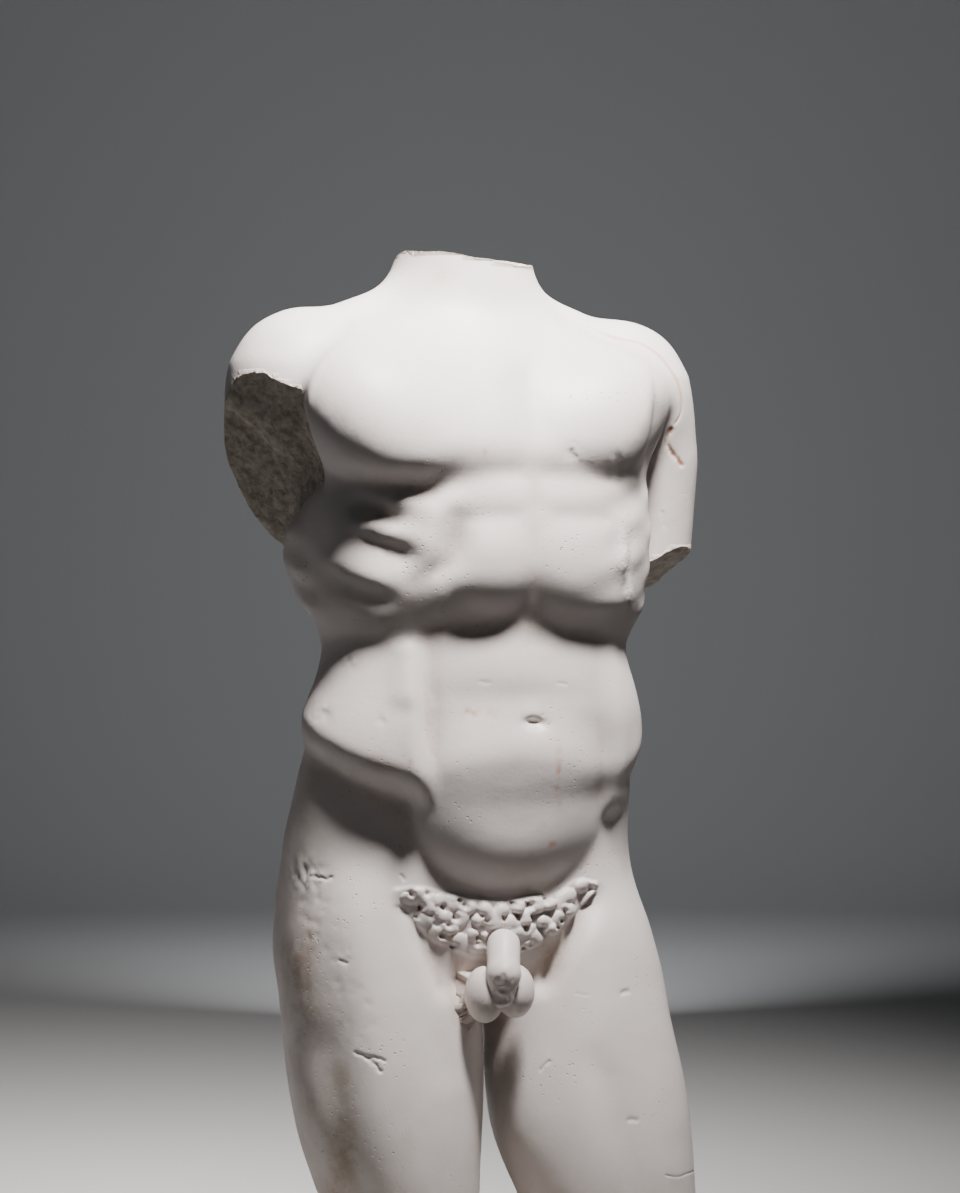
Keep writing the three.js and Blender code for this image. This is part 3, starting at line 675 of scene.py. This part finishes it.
def store(mesh, name, values):
    mesh.attributes.new(name, "FLOAT", "POINT").data.foreach_set("value", np.asarray(values, np.float32))


def refine(mesh, wanted):
    """Splits the faces whose middle is wanted; wanted takes points in millimetres and normals."""
    middle = np.empty(len(mesh.polygons) * 3)
    mesh.polygons.foreach_get("center", middle)
    normal = np.empty(len(mesh.polygons) * 3)
    mesh.polygons.foreach_get("normal", normal)
    chosen = wanted(middle.reshape(-1, 3) / MM, normal.reshape(-1, 3))
    bm = bmesh.new()
    bm.from_mesh(mesh)
    bm.faces.ensure_lookup_table()
    edges = {e for i in np.flatnonzero(chosen) for e in bm.faces[i].edges}
    bmesh.ops.subdivide_edges(bm, edges=sorted(edges, key=lambda e: e.index), cuts=1, use_grid_fill=True)
    bm.to_mesh(mesh)
    bm.free()


def volume(mesh):
    bm = bmesh.new()
    bm.from_mesh(mesh)
    size = bm.calc_volume()
    bm.free()
    return size


def cut_away(piece, tool_mesh):
    """Takes a closed mesh out of the piece."""
    tool = show("tool", tool_mesh)
    cut = piece.modifiers.new("cut", "BOOLEAN")
    cut.operation, cut.solver, cut.object = "DIFFERENCE", "MANIFOLD", tool
    graph = bpy.context.evaluated_depsgraph_get()
    result = bpy.data.meshes.new_from_object(piece.evaluated_get(graph))
    piece.modifiers.clear()
    left = volume(result) / volume(piece.data)
    if not 0.8 < left < 1:
        raise RuntimeError(f"{tool_mesh.name} left {left:.0%} of the stone")
    old, piece.data = piece.data, result
    bpy.data.meshes.remove(old)
    bpy.data.objects.remove(tool)


def even_lines(size, *spans):
    return [grid_lines(low, high, lambda _: size) for low, high in spans]


# ---------------------------------------------------------------- breaks
def rough_face(P, coarse):
    """Unevenness of a broken face."""
    return (coarse * noise(P, 38, 31) + 0.5 * coarse * noise(P, 17, 32)
            + 0.45 * coarse * (np.abs(noise(P, 9, 33)) - 0.3) + 0.2 * coarse * noise(P, 4.5, 34))


def lost_end(P, arm, gone):
    """The slice of an arm that lies past a break, clear of the body."""
    return np.maximum.reduce([arm - 8, -gone, gone - 2.5 * STUB, 1 - trunk(P)])


def lost_right_arm(P, coarse):
    """The stone that went with the right arm; it tore deeper below a slanting step."""
    u, z = oblique(P, CARVING_TURN), P[:, 2]
    below_step = 1 - ramp((u + 199) * 0.65 + (z - 864) * 0.76 + 3, 6)
    deeper = 5 * below_step * ramp(-148 - u, 45) * ramp(z - 765, 70)
    gone = past_break(P, RIGHT_ARM_BREAK) + rough_face(P, coarse) + deeper
    return lost_end(P, right_arm(P), gone)


def lost_left_arm(P, coarse):
    return lost_end(P, left_arm(P), past_break(P, LEFT_ARM_BREAK) + rough_face(P, coarse))


def lost_head(P, coarse):
    chipped = 10 * ramp(-60 - oblique(P, CARVING_TURN), 18)
    gone = past_break(P, NECK_BREAK) + rough_face(P, coarse) + chipped
    return np.maximum(bar(P, (-4, 18, 1000), (-4, 18, 1090), 92, 92), -gone)


LOST = [
    (lost_right_arm, [(-262, -90), (-90, 130), (700, 950)]),
    (lost_left_arm, [(100, 275), (-90, 130), (660, 850)]),
    (lost_head, [(-120, 112), (-100, 136), (990, 1200)]),
]


def broken_share(P, coarse):
    """1 on the broken faces, 0 on the worked skin."""
    near = [np.abs(mass(P, coarse)) for mass, _ in LOST]
    return 1 - ramp(np.minimum.reduce(near) - 0.35, 0.8)


# ---------------------------------------------------------------- colour masks
def smoothed(values, edges, count, rounds):
    """Values averaged with their neighbours a number of times."""
    degree = np.bincount(edges.ravel(), minlength=count)[:, None]
    for _ in range(rounds):
        total = np.stack([np.bincount(edges[:, 0], values[edges[:, 1], k], count)
                          + np.bincount(edges[:, 1], values[edges[:, 0], k], count)
                          for k in range(values.shape[1])], 1)
        values = 0.5 * values + 0.5 * total / np.maximum(degree, 1)
    return values


def edge_pairs(mesh):
    flat = np.empty(len(mesh.edges) * 2, np.int32)
    mesh.edges.foreach_get("vertices", flat)
    return flat.reshape(-1, 2)


def hollow_depth(mesh, rounds):
    """How far each point lies below the smoothed surface, in millimetres."""
    P, N = points_of(mesh), normals_of(mesh)
    return ((smoothed(P, edge_pairs(mesh), len(P), rounds) - P) * N).sum(1)


# ---------------------------------------------------------------- settings
class StatueCarving(bpy.types.PropertyGroup):
    """Sizes of the carving, in millimetres where they have no unit."""
    net: bpy.props.FloatProperty(
        name="Net", description="Spacing of the first net over the figure, in millimetres", default=10.0,
        min=5, max=20)
    curl_rise: bpy.props.FloatProperty(
        name="Curl rise", description="Height of the curls, in millimetres", default=6.5, min=0, max=10)
    break_roughness: bpy.props.FloatProperty(
        name="Break roughness", description="Unevenness of the broken faces, in millimetres",
        default=2.6, min=0,
        max=8)
    unevenness: bpy.props.FloatProperty(
        name="Unevenness", description="Slow waves in the worn surface, in millimetres", default=0.45,
        min=0, max=2)
    damage_depth: bpy.props.FloatProperty(
        name="Damage depth", description="Depth of nicks and pits, as a share of the full depth",
        default=1.0, min=0,
        max=2, subtype="FACTOR")


class StoneColours(bpy.types.PropertyGroup):
    """Colours of the stones."""
    marble: bpy.props.FloatVectorProperty(
        name="Marble", description="Clean worn marble", default=(0.78, 0.72, 0.695), subtype="COLOR",
        min=0, max=1)
    cloud: bpy.props.FloatVectorProperty(
        name="Cloud", description="Cooler clouds in the marble", default=(0.67, 0.625, 0.61),
        subtype="COLOR", min=0,
        max=1)
    # The patina brown also serves as the colour of the painted shade in the folds, between the thighs and low on
    # the thighs.
    patina: bpy.props.FloatVectorProperty(
        name="Patina", description="Brown skin in the hollows", default=(0.36, 0.255, 0.175),
        subtype="COLOR", min=0,
        max=1)
    rust: bpy.props.FloatVectorProperty(
        name="Rust", description="Iron stains", default=(0.50, 0.19, 0.05), subtype="COLOR", min=0, max=1)
    # The broken faces' brown is their weathered colour, darkened further as painted shade to the tone of a break
    # in shadow.
    broken: bpy.props.FloatVectorProperty(
        name="Broken", description="Old broken faces", default=(0.33, 0.265, 0.21), subtype="COLOR",
        min=0, max=1)
    plinth: bpy.props.FloatVectorProperty(
        name="Plinth", description="Stone of the plinth", default=(0.50, 0.475, 0.43), subtype="COLOR",
        min=0, max=1)


class StudioSettings(bpy.types.PropertyGroup):
    """Floor, lights and camera."""
    sweep: bpy.props.FloatVectorProperty(
        name="Sweep", description="Colour of the floor and backdrop", default=(0.50, 0.50, 0.50),
        subtype="COLOR",
        min=0, max=1)
    key: bpy.props.FloatProperty(
        name="Key light", description="Power of the main light", default=24.0, min=0, unit="POWER")
    fill: bpy.props.FloatProperty(
        name="Fill light", description="Power of the soft light from the left", default=1.0, min=0,
        unit="POWER")
    rim: bpy.props.FloatProperty(
        name="Rim light", description="Power of the light from behind", default=3.0, min=0, unit="POWER")
    backdrop: bpy.props.FloatProperty(
        name="Backdrop light", description="Power of the light on the wall", default=25.0, min=0,
        unit="POWER")
    distance: bpy.props.FloatProperty(
        name="Camera distance", description="From the middle of the figure", default=3.6, min=1,
        unit="LENGTH")
    eye_height: bpy.props.FloatProperty(
        name="Eye height", description="Height of the camera", default=0.708, min=0, unit="LENGTH")


# ---------------------------------------------------------------- materials
def new_material(name):
    material = bpy.data.materials.new(name)
    material.use_nodes = True
    tree = material.node_tree
    tree.nodes.clear()
    return material, tree


def add(tree, kind, settings=None, **inputs):
    """A node with its settings, and its inputs set or linked by name."""
    node = tree.nodes.new(kind)
    for key, value in (settings or {}).items():
        setattr(node, key, value)
    for key, value in inputs.items():
        socket = node.inputs[int(key[1:])] if key[0] == "_" and key[1:].isdigit() else node.inputs[key.replace("_", " ")]
        if isinstance(value, bpy.types.NodeSocket):
            tree.links.new(value, socket)
        else:
            socket.default_value = value
    return node


def calc(tree, operation, a, b=0.0, clamp=False):
    return add(tree, "ShaderNodeMath", {"operation": operation, "use_clamp": clamp}, _0=a, _1=b).outputs[0]


def blend_colour(tree, share, a, b, way="MIX"):
    node = add(tree, "ShaderNodeMix", {"data_type": "RGBA", "blend_type": way}, Factor=share)
    for socket, value in ((node.inputs[6], a), (node.inputs[7], b)):
        if isinstance(value, bpy.types.NodeSocket):
            tree.links.new(value, socket)
        else:
            socket.default_value = value
    return node.outputs[2]


def grain(tree, where, scale, detail=4.0, rough=0.55, low=0.35, high=0.65):
    """Noise stretched between two levels."""
    cloud = add(tree, "ShaderNodeTexNoise", None, Vector=where, Scale=scale, Detail=detail, Roughness=rough)
    return add(tree, "ShaderNodeMapRange", {"clamp": True}, _0=cloud.outputs[0], _1=low, _2=high).outputs[0]


def mask(tree, name):
    return add(tree, "ShaderNodeAttribute", {"attribute_name": name}).outputs["Fac"]


def rgba(colour):
    return (*colour, 1.0)


def share_of(tree, mask, part, least=0.0):
    """A mask times a part that varies, and never less than a share of the mask."""
    return calc(tree, "MULTIPLY", mask,
                calc(tree, "ADD", calc(tree, "MULTIPLY", part, 1 - least), least), clamp=True)


def marble_material(colours):
    """Worn white marble with patina in its hollows, iron stains, pits and granular breaks, and painted shade in
    its folds, low on the thighs and on the broken faces.
    """
    material, tree = new_material("worn marble")
    where = add(tree, "ShaderNodeTexCoord").outputs["Object"]
    hollow, broken, stain, grime_and_shade, fresh = (mask(tree, n) for n in ("hollow", "broken", "stain", "grime_and_shade",
                                                                   "fresh"))
    clouds = grain(tree, where, 7.0, 5.0)
    warm = grain(tree, where, 3.1, 3.0, low=0.42, high=0.72)
    mottle = grain(tree, where, 38.0, 5.0, 0.65, 0.40, 0.62)
    speckle = grain(tree, where, 110.0, 3.0, 0.7)
    colour = blend_colour(tree, calc(tree, "MULTIPLY", clouds, 0.45), rgba(colours.marble),
                          rgba(colours.cloud))
    colour = blend_colour(tree, calc(tree, "MULTIPLY", warm, 0.14), colour, (0.78, 0.64, 0.50, 1))
    colour = blend_colour(tree, calc(tree, "MULTIPLY", share_of(tree, hollow, speckle, 0.5), 0.38), colour,
                          rgba(colours.patina))
    # A brown film of grime and painted shade: patina on the thighs, painted shade in the folds, under the belly,
    # between the thighs and towards their foot, and a darkening of the faces turned away from the front.
    grime_and_shade_film = share_of(tree, grime_and_shade, mottle, 0.35)
    colour = blend_colour(tree, calc(tree, "MULTIPLY", grime_and_shade_film, 0.8), colour, rgba(colours.patina))
    # The broken faces get the dark broken brown, partly the weathered stone and partly painted shade of a break
    # in shadow.
    crystal = blend_colour(tree, speckle, rgba(colours.broken), (0.62, 0.56, 0.48, 1))
    colour = blend_colour(tree, broken, colour, crystal)
    colour = blend_colour(tree, calc(tree, "MULTIPLY", fresh, 0.7), colour, (0.84, 0.82, 0.79, 1))
    colour = blend_colour(tree, calc(tree, "MULTIPLY", stain, 0.9), colour, rgba(colours.rust))
    holes = add(tree, "ShaderNodeTexVoronoi", {"feature": "F1"}, Vector=where, Scale=170.0)
    hole = add(tree, "ShaderNodeMapRange", {"clamp": True}, _0=holes.outputs["Distance"], _1=0.20,
               _2=0.06).outputs[0]
    patches = grain(tree, where, 13.0, 4.0, low=0.55, high=0.66)
    hole = calc(tree, "MULTIPLY", hole, calc(tree, "MAXIMUM", patches, grime_and_shade_film))
    colour = blend_colour(tree, calc(tree, "MULTIPLY", hole, 0.5), colour, rgba(colours.patina))
    rough = calc(tree, "MAXIMUM", broken, fresh)
    fine = add(tree, "ShaderNodeTexNoise", None, Vector=where, Scale=420.0, Detail=5.0,
               Roughness=0.65).outputs[0]
    coarse = add(tree, "ShaderNodeTexNoise", None, Vector=where, Scale=140.0, Detail=4.0,
                 Roughness=0.6).outputs[0]
    tooth = calc(tree, "MULTIPLY", fine, calc(tree, "ADD", calc(tree, "MULTIPLY", rough, 0.9), 0.12))
    lumps = calc(tree, "MULTIPLY", coarse, calc(tree, "ADD", calc(tree, "MULTIPLY", rough, 1.8), 0.22))
    tooth = calc(tree, "SUBTRACT", calc(tree, "ADD", tooth, lumps), calc(tree, "MULTIPLY", hole, 1.0))
    bump = add(tree, "ShaderNodeBump", None, Strength=0.6, Distance=0.0012, Height=tooth)
    gloss = calc(tree, "ADD", calc(tree, "MULTIPLY", clouds, 0.12), 0.42)
    gloss = calc(tree, "ADD", gloss, calc(tree, "MULTIPLY", calc(tree, "MAXIMUM", rough, grime_and_shade_film), 0.35),
                 clamp=True)
    shader = add(tree, "ShaderNodeBsdfPrincipled", None, Base_Color=colour, Roughness=gloss,
                 Normal=bump.outputs[0])
    shader.inputs["IOR"].default_value = 1.48
    shader.inputs["Subsurface Weight"].default_value = 0.12
    shader.inputs["Subsurface Radius"].default_value = (1.0, 0.72, 0.5)
    shader.inputs["Subsurface Scale"].default_value = 0.005
    out = add(tree, "ShaderNodeOutputMaterial")
    tree.links.new(shader.outputs[0], out.inputs[0])
    return material


def plinth_material(colours):
    """Fine-sawn limestone with faint bedding and worn, paler edges."""
    material, tree = new_material("sawn limestone")
    where = add(tree, "ShaderNodeTexCoord").outputs["Object"]
    worn = mask(tree, "worn")
    clouds = grain(tree, where, 9.0, 5.0)
    stretched = add(tree, "ShaderNodeMapping", None, Vector=where, Scale=(1.0, 1.0, 7.0)).outputs[0]
    bedding = grain(tree, stretched, 14.0, 4.0)
    speck = grain(tree, where, 260.0, 3.0, 0.7, 0.45, 0.62)
    dark = tuple(0.80 * c for c in colours.plinth)
    colour = blend_colour(tree, calc(tree, "MULTIPLY", clouds, 0.6), rgba(colours.plinth), rgba(dark))
    colour = blend_colour(tree, calc(tree, "MULTIPLY", bedding, 0.18), colour, (0.60, 0.55, 0.47, 1))
    colour = blend_colour(tree, calc(tree, "MULTIPLY", speck, 0.16), colour, (0.28, 0.26, 0.23, 1))
    colour = blend_colour(tree, calc(tree, "MULTIPLY", worn, 0.45), colour, (0.66, 0.63, 0.58, 1))
    fine = add(tree, "ShaderNodeTexNoise", None, Vector=where, Scale=500.0, Detail=5.0,
               Roughness=0.7).outputs[0]
    height = calc(tree, "SUBTRACT", fine, calc(tree, "MULTIPLY", speck, 0.8))
    bump = add(tree, "ShaderNodeBump", None, Strength=0.5, Distance=0.0006, Height=height)
    gloss = calc(tree, "ADD", calc(tree, "MULTIPLY", clouds, 0.12), 0.66)
    shader = add(tree, "ShaderNodeBsdfPrincipled", None, Base_Color=colour, Roughness=gloss,
                 Normal=bump.outputs[0])
    out = add(tree, "ShaderNodeOutputMaterial")
    tree.links.new(shader.outputs[0], out.inputs[0])
    return material


def sweep_material(colour):
    material, tree = new_material("studio sweep")
    where = add(tree, "ShaderNodeTexCoord").outputs["Object"]
    soft = grain(tree, where, 1.5, 2.0, low=0.2, high=0.8)
    shade = blend_colour(tree, calc(tree, "MULTIPLY", soft, 0.08), rgba(colour),
                         rgba(tuple(0.85 * c for c in colour)))
    shader = add(tree, "ShaderNodeBsdfPrincipled", None, Base_Color=shade, Roughness=0.9)
    out = add(tree, "ShaderNodeOutputMaterial")
    tree.links.new(shader.outputs[0], out.inputs[0])
    return material


# ---------------------------------------------------------------- the torso
def fine_places(P, N):
    """Where the carving is finest."""
    u, z, seen = oblique(P, CARVING_TURN), P[:, 2], facing(N, CARVING_TURN) > 0.05
    near = (u > -74) & (u < 124) & (z < edge(CURLS_TOP, u) + 6) & (z > edge(CURLS_FOOT, u) - 7)
    near |= mound(u, z, (54, 593), (14, 9), 0, 1) > 0.3
    for path in (SHOULDER_JOIN, SHOULDER_STAIN, THIGH_JOIN, *(n[0] for n in NICKS)):
        near |= along(u, z, rounded(path))[0] < 6
    return (seen & near) | ((manhood(P) < 4) & (past_break(P, WORN_TIP) > -6))


def rough_places(P, N):
    """Where the stone is pitted, and the channels beside the arms."""
    u, z, seen = oblique(P, CARVING_TURN), P[:, 2], facing(N, CARVING_TURN) > 0.05
    near = along(u, z, np.array(WORN_BAND, float))[0] < 18
    for centre, radii in (*ROUGH_PATCHES, *STRUT):
        near |= mound(u, z, centre, radii, 0, 1) > 0.15
    channel = (np.abs(trunk(P) - arms(P)) < 10) & (z < 885) & (z > 700)
    return (seen & near) | channel | (manhood(P) < 5)


def carved_torso(sizes):
    """The whole carved figure, before its breaks."""
    step = sizes.net
    lines = [grid_lines(-262, 262, lambda _: step),
             grid_lines(-170, 172, lambda y: step if y < 10 else step * 1.2),
             grid_lines(14, 1084, lambda z: step)]
    points, quads = subdivided(*skin(figure, lines))
    mesh = mesh_from("torso", settled(figure, points, 2), quads)
    refine(mesh, lambda P, N: fine_places(P, N) | rough_places(P, N))
    refine(mesh, fine_places)
    points = settled(channelled, points_of(mesh), 6)
    mesh.vertices.foreach_set("co", (points * MM).ravel())
    mesh.update()
    N = normals_of(mesh)
    points = points + N * carving(points, N)[:, None]
    seen = ramp(facing(N, CARVING_TURN), 0.25) * ramp(arms(points) - masses(points) + 40, 10)
    u, z = oblique(points, CARVING_TURN), points[:, 2]
    bare = ramp(manhood(points) - 2, 5)
    h = seen * (damage(points, u, z, sizes.damage_depth) + curls(u, z, sizes.curl_rise) * bare)
    h += sizes.unevenness * (noise(points, 46, 11) + 0.5 * noise(points, 21, 12) + 0.2 * noise(points, 9,
                                                                                               13))
    mesh.vertices.foreach_set("co", ((points + N * h[:, None]) * MM).ravel())
    mesh.update()
    return mesh


def saw_flat(mesh, height):
    """Cuts the thighs level and closes them."""
    bm = bmesh.new()
    bm.from_mesh(mesh)
    everything = bm.verts[:] + bm.edges[:] + bm.faces[:]
    cut = bmesh.ops.bisect_plane(bm, geom=everything, dist=1e-6, plane_co=(0, 0, height),
                                 plane_no=(0, 0, 1),
                                 clear_inner=True)
    rim = [e for e in cut["geom_cut"] if isinstance(e, bmesh.types.BMEdge)]
    bmesh.ops.holes_fill(bm, edges=rim, sides=0)
    bmesh.ops.triangulate(bm, faces=[f for f in bm.faces if len(f.verts) > 4])
    bm.to_mesh(mesh)
    bm.free()


def sharpen(mesh, angle):
    """Smooth shading that stops at edges sharper than an angle in degrees."""
    mesh.polygons.foreach_set("use_smooth", np.ones(len(mesh.polygons), bool))
    mesh.set_sharp_from_angle(angle=math.radians(angle))


def colour_masks(mesh, sizes):
    P, N = points_of(mesh), normals_of(mesh)
    u, z, seen = oblique(P, CARVING_TURN), P[:, 2], ramp(facing(N, CARVING_TURN) + 0.1, 0.25)
    store(mesh, "hollow", ramp(hollow_depth(mesh, 60) - 0.5, 3.5))
    store(mesh, "broken", broken_share(P, sizes.break_roughness) * (z > 600))
    spots = sum(mound(u, z, centre, radii, 0, 1) for centre, radii in RUST)
    flecks = ramp(noise(P, 3.0, 51) + 0.3, 0.5)
    seams = ridge(u, z, SHOULDER_JOIN, 1.5, 0.55, 0.2) + ridge(u, z, SHOULDER_STAIN, 3.0, 1.0, 0.1) * flecks
    store(mesh, "stain", np.clip((spots * flecks + seams) * seen, 0, 1))
    strut = sum(mound(u, z, centre, radii, 0, 1) for centre, radii in STRUT)
    store(mesh, "fresh", np.clip(strut * seen, 0, 1))
    # Brown patches on the front: patina on the thighs and at the neck, painted shade in the folds, under the
    # belly, beside the loins and between the thighs.
    patina_and_shade_spots = sum(mound(u, z, centre, radii, 0, share) for centre, radii, share in PATINA_AND_SHADE) * seen
    # Painted shade of the light falling off towards the bottom of the thighs, and a darkening of the faces turned
    # away from the front.
    foot = 0.35 * ramp(280 - z, 240) + 0.25 * ramp(-0.2 - facing(N, CARVING_TURN), 0.8)
    store(mesh, "grime_and_shade", np.clip((patina_and_shade_spots + foot) * (0.8 + 0.5 * noise(P, 30, 52)), 0, 1))


class STATUE_OT_carve_torso(bpy.types.Operator):
    """Carve the marble torso, break off its head and arms, and saw the thighs level"""
    bl_idname = "statue.carve_torso"
    bl_label = "Carve Torso"

    def execute(self, context):
        sizes = context.scene.statue_carving
        mesh = carved_torso(sizes)
        saw_flat(mesh, THIGH_CUT * MM)
        torso = show("marble_torso", mesh)
        for number, (lost, spans) in enumerate(LOST):
            def rough(P, lost=lost):
                return lost(P, sizes.break_roughness)
            points, quads = subdivided(*skin(rough, even_lines(6.0, *spans)))
            cut_away(torso, mesh_from(f"lost_{number}", settled(rough, points, 2), quads))
        colour_masks(torso.data, sizes)
        sharpen(torso.data, 40)
        torso.data.materials.clear()
        torso.data.materials.append(marble_material(context.scene.stone_colours))
        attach(torso, "root")
        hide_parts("torso")
        return {"FINISHED"}


# ---------------------------------------------------------------- the plinth
class STATUE_OT_cut_plinth(bpy.types.Operator):
    """Cut the low plinth, with chamfered and slightly worn edges"""
    bl_idname = "statue.cut_plinth"
    bl_label = "Cut Plinth"

    def execute(self, context):
        low, high = (np.array(c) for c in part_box("plinth"))
        size = high - low
        bm = bmesh.new()
        bmesh.ops.create_cube(bm, size=1.0)
        bmesh.ops.scale(bm, vec=size, verts=bm.verts)
        upright = [e for e in bm.edges if abs(e.verts[0].co.z - e.verts[1].co.z) > size[2] / 2]
        bmesh.ops.bevel(bm, geom=upright, offset=0.012, segments=4, profile=0.5, affect="EDGES")
        rim = [e for e in bm.edges if abs(e.verts[0].co.z - e.verts[1].co.z) < 1e-6]
        bmesh.ops.bevel(bm, geom=rim, offset=0.007, segments=2, profile=0.7, affect="EDGES")
        mesh = bpy.data.meshes.new("plinth")
        bmesh.ops.translate(bm, vec=(low + high) / 2, verts=bm.verts)
        for axis, count in ((0, 56), (1, 38), (2, 7)):
            for n in range(1, count):
                at, normal = np.array(low), np.zeros(3)
                at[axis] += size[axis] * n / count
                normal[axis] = 1
                bmesh.ops.bisect_plane(bm, geom=bm.verts[:] + bm.edges[:] + bm.faces[:], dist=1e-5,
                                       plane_co=at,
                                       plane_no=normal)
        bm.to_mesh(mesh)
        bm.free()
        P, N = points_of(mesh), normals_of(mesh)
        box_low, box_high = low / MM, high / MM
        near = np.sort(np.minimum(P - box_low, box_high - P), 1)
        worn = 1 - ramp(near[:, 1] - 1, 9)
        wear = 0.35 + 0.35 * noise(P, 30, 61) + worn * np.clip(noise(P, 14, 62) + 0.1, 0, 1) * 1.8
        keep = (P[:, 2] > box_low[2] + 0.5)
        P = P - N * (np.clip(wear, 0, None) * keep)[:, None]
        mesh.vertices.foreach_set("co", (np.clip(P, box_low, box_high) * MM).ravel())
        mesh.update()
        store(mesh, "worn", worn)
        plinth = show("stone_plinth", mesh)
        sharpen(mesh, 50)
        mesh.materials.append(plinth_material(context.scene.stone_colours))
        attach(plinth, "root")
        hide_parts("plinth")
        return {"FINISHED"}


# ---------------------------------------------------------------- the studio
def lathe(name, profile, segments):
    """A mesh turned round the z axis from (radius, height) pairs, the first at radius 0."""
    points, faces = [(0.0, 0.0, profile[0][1])], []
    for radius, height in profile[1:]:
        for n in range(segments):
            a = 2 * math.pi * n / segments
            points.append((radius * math.cos(a), radius * math.sin(a), height))
    for n in range(segments):
        m = (n + 1) % segments
        faces.append((0, 1 + n, 1 + m))
        for ring in range(len(profile) - 2):
            base = 1 + ring * segments
            faces.append((base + n, base + segments + n, base + segments + m, base + m))
    return mesh_from(name, np.array(points), faces, 1.0)


def soft_light(name, place, aim, size, power, colour=(1, 1, 1), spread=180):
    data = bpy.data.lights.new(name, "AREA")
    data.spread = math.radians(spread)
    data.shape, data.size, data.energy, data.color = "DISK", size, power, colour
    light = show(name, data)
    light.location = place
    light.rotation_mode = "QUATERNION"
    light.rotation_quaternion = (Vector(place) - Vector(aim)).to_track_quat("Z", "Y")


def place_round(azimuth, distance, height):
    a = math.radians(azimuth)
    return (distance * math.sin(a), -distance * math.cos(a), height)


class STATUE_OT_set_studio(bpy.types.Operator):
    """Set the pale floor, the soft lights and the camera"""
    bl_idname = "statue.set_studio"
    bl_label = "Set Studio"

    def execute(self, context):
        studio = context.scene.statue_studio
        bend = [(5.0 + 3.0 * math.sin(t), 3.0 - 3.0 * math.cos(t)) for t in np.linspace(0, math.pi / 2, 13)]
        profile = [(0, 0), (1.2, 0), (3.0, 0), *bend, (8.0, 7.0)]
        sweep = show("studio_sweep", lathe("studio_sweep", profile, 96))
        sweep.data.polygons.foreach_set("use_smooth", np.ones(len(sweep.data.polygons), bool))
        sweep.location.z = -0.0004
        sweep.data.materials.append(sweep_material(studio.sweep))
        aim = (0, 0, 0.72)
        soft_light("key", place_round(4, 0.85, 2.35), (0, 0, 1.3), 0.35, studio.key, (1.0, 0.965, 0.95), 60)
        soft_light("fill", place_round(-95, 2.8, 1.3), aim, 1.8, studio.fill, (0.94, 0.97, 1.0))
        soft_light("rim", place_round(118, 2.6, 1.9), aim, 0.8, studio.rim, (1.0, 0.99, 0.97))
        wall = place_round(158, 8.0, 1.5)
        soft_light("backdrop", place_round(158, 2.6, 0.6), wall, 1.2, studio.backdrop, (0.96, 0.98, 1.0),
                   110)
        world = bpy.data.worlds.new("studio air")
        world.use_nodes = True
        world.node_tree.nodes["Background"].inputs[0].default_value = (0.80, 0.84, 0.90, 1)
        world.node_tree.nodes["Background"].inputs[1].default_value = 0.04
        context.scene.world = world
        data = bpy.data.cameras.new("camera")
        data.lens, data.sensor_width = 114.07, 36.0
        camera = show("camera", data)
        a = math.radians(CARVING_TURN)
        across = 0.0095
        camera.location = Vector(place_round(CARVING_TURN, studio.distance, studio.eye_height)) + Vector(
            (across * math.cos(a), across * math.sin(a), 0))
        camera.rotation_euler = (math.pi / 2, 0, a)
        context.scene.camera = camera
        return {"FINISHED"}


# ---------------------------------------------------------------- sidebar
STEPS = (STATUE_OT_carve_torso, STATUE_OT_cut_plinth, STATUE_OT_set_studio)
GROUPS = (("statue_carving", StatueCarving), ("stone_colours", StoneColours),
          ("statue_studio", StudioSettings))


class STATUE_PT_sidebar(bpy.types.Panel):
    """Sizes, colours and the steps that make the statue"""
    bl_idname = "STATUE_PT_sidebar"
    bl_label = "Marble Torso"
    bl_space_type = "VIEW_3D"
    bl_region_type = "UI"
    bl_category = "Statue"

    def draw(self, context):
        for name, group in GROUPS:
            box = self.layout.box()
            for key in group.__annotations__:
                box.prop(getattr(context.scene, name), key)
        for step in STEPS:
            self.layout.operator(step.bl_idname)


def register():
    for group in (*(g for _, g in GROUPS), *STEPS, STATUE_PT_sidebar):
        bpy.utils.register_class(group)
    for name, group in GROUPS:
        setattr(bpy.types.Scene, name, bpy.props.PointerProperty(type=group))


def unregister():
    for name, _ in GROUPS:
        delattr(bpy.types.Scene, name)
    for group in (STATUE_PT_sidebar, *reversed(STEPS), *(g for _, g in reversed(GROUPS))):
        bpy.utils.unregister_class(group)


def main():
    register()
    bpy.ops.statue.carve_torso()
    bpy.ops.statue.cut_plinth()
    bpy.ops.statue.set_studio()


if __name__ == "__main__":
    main()
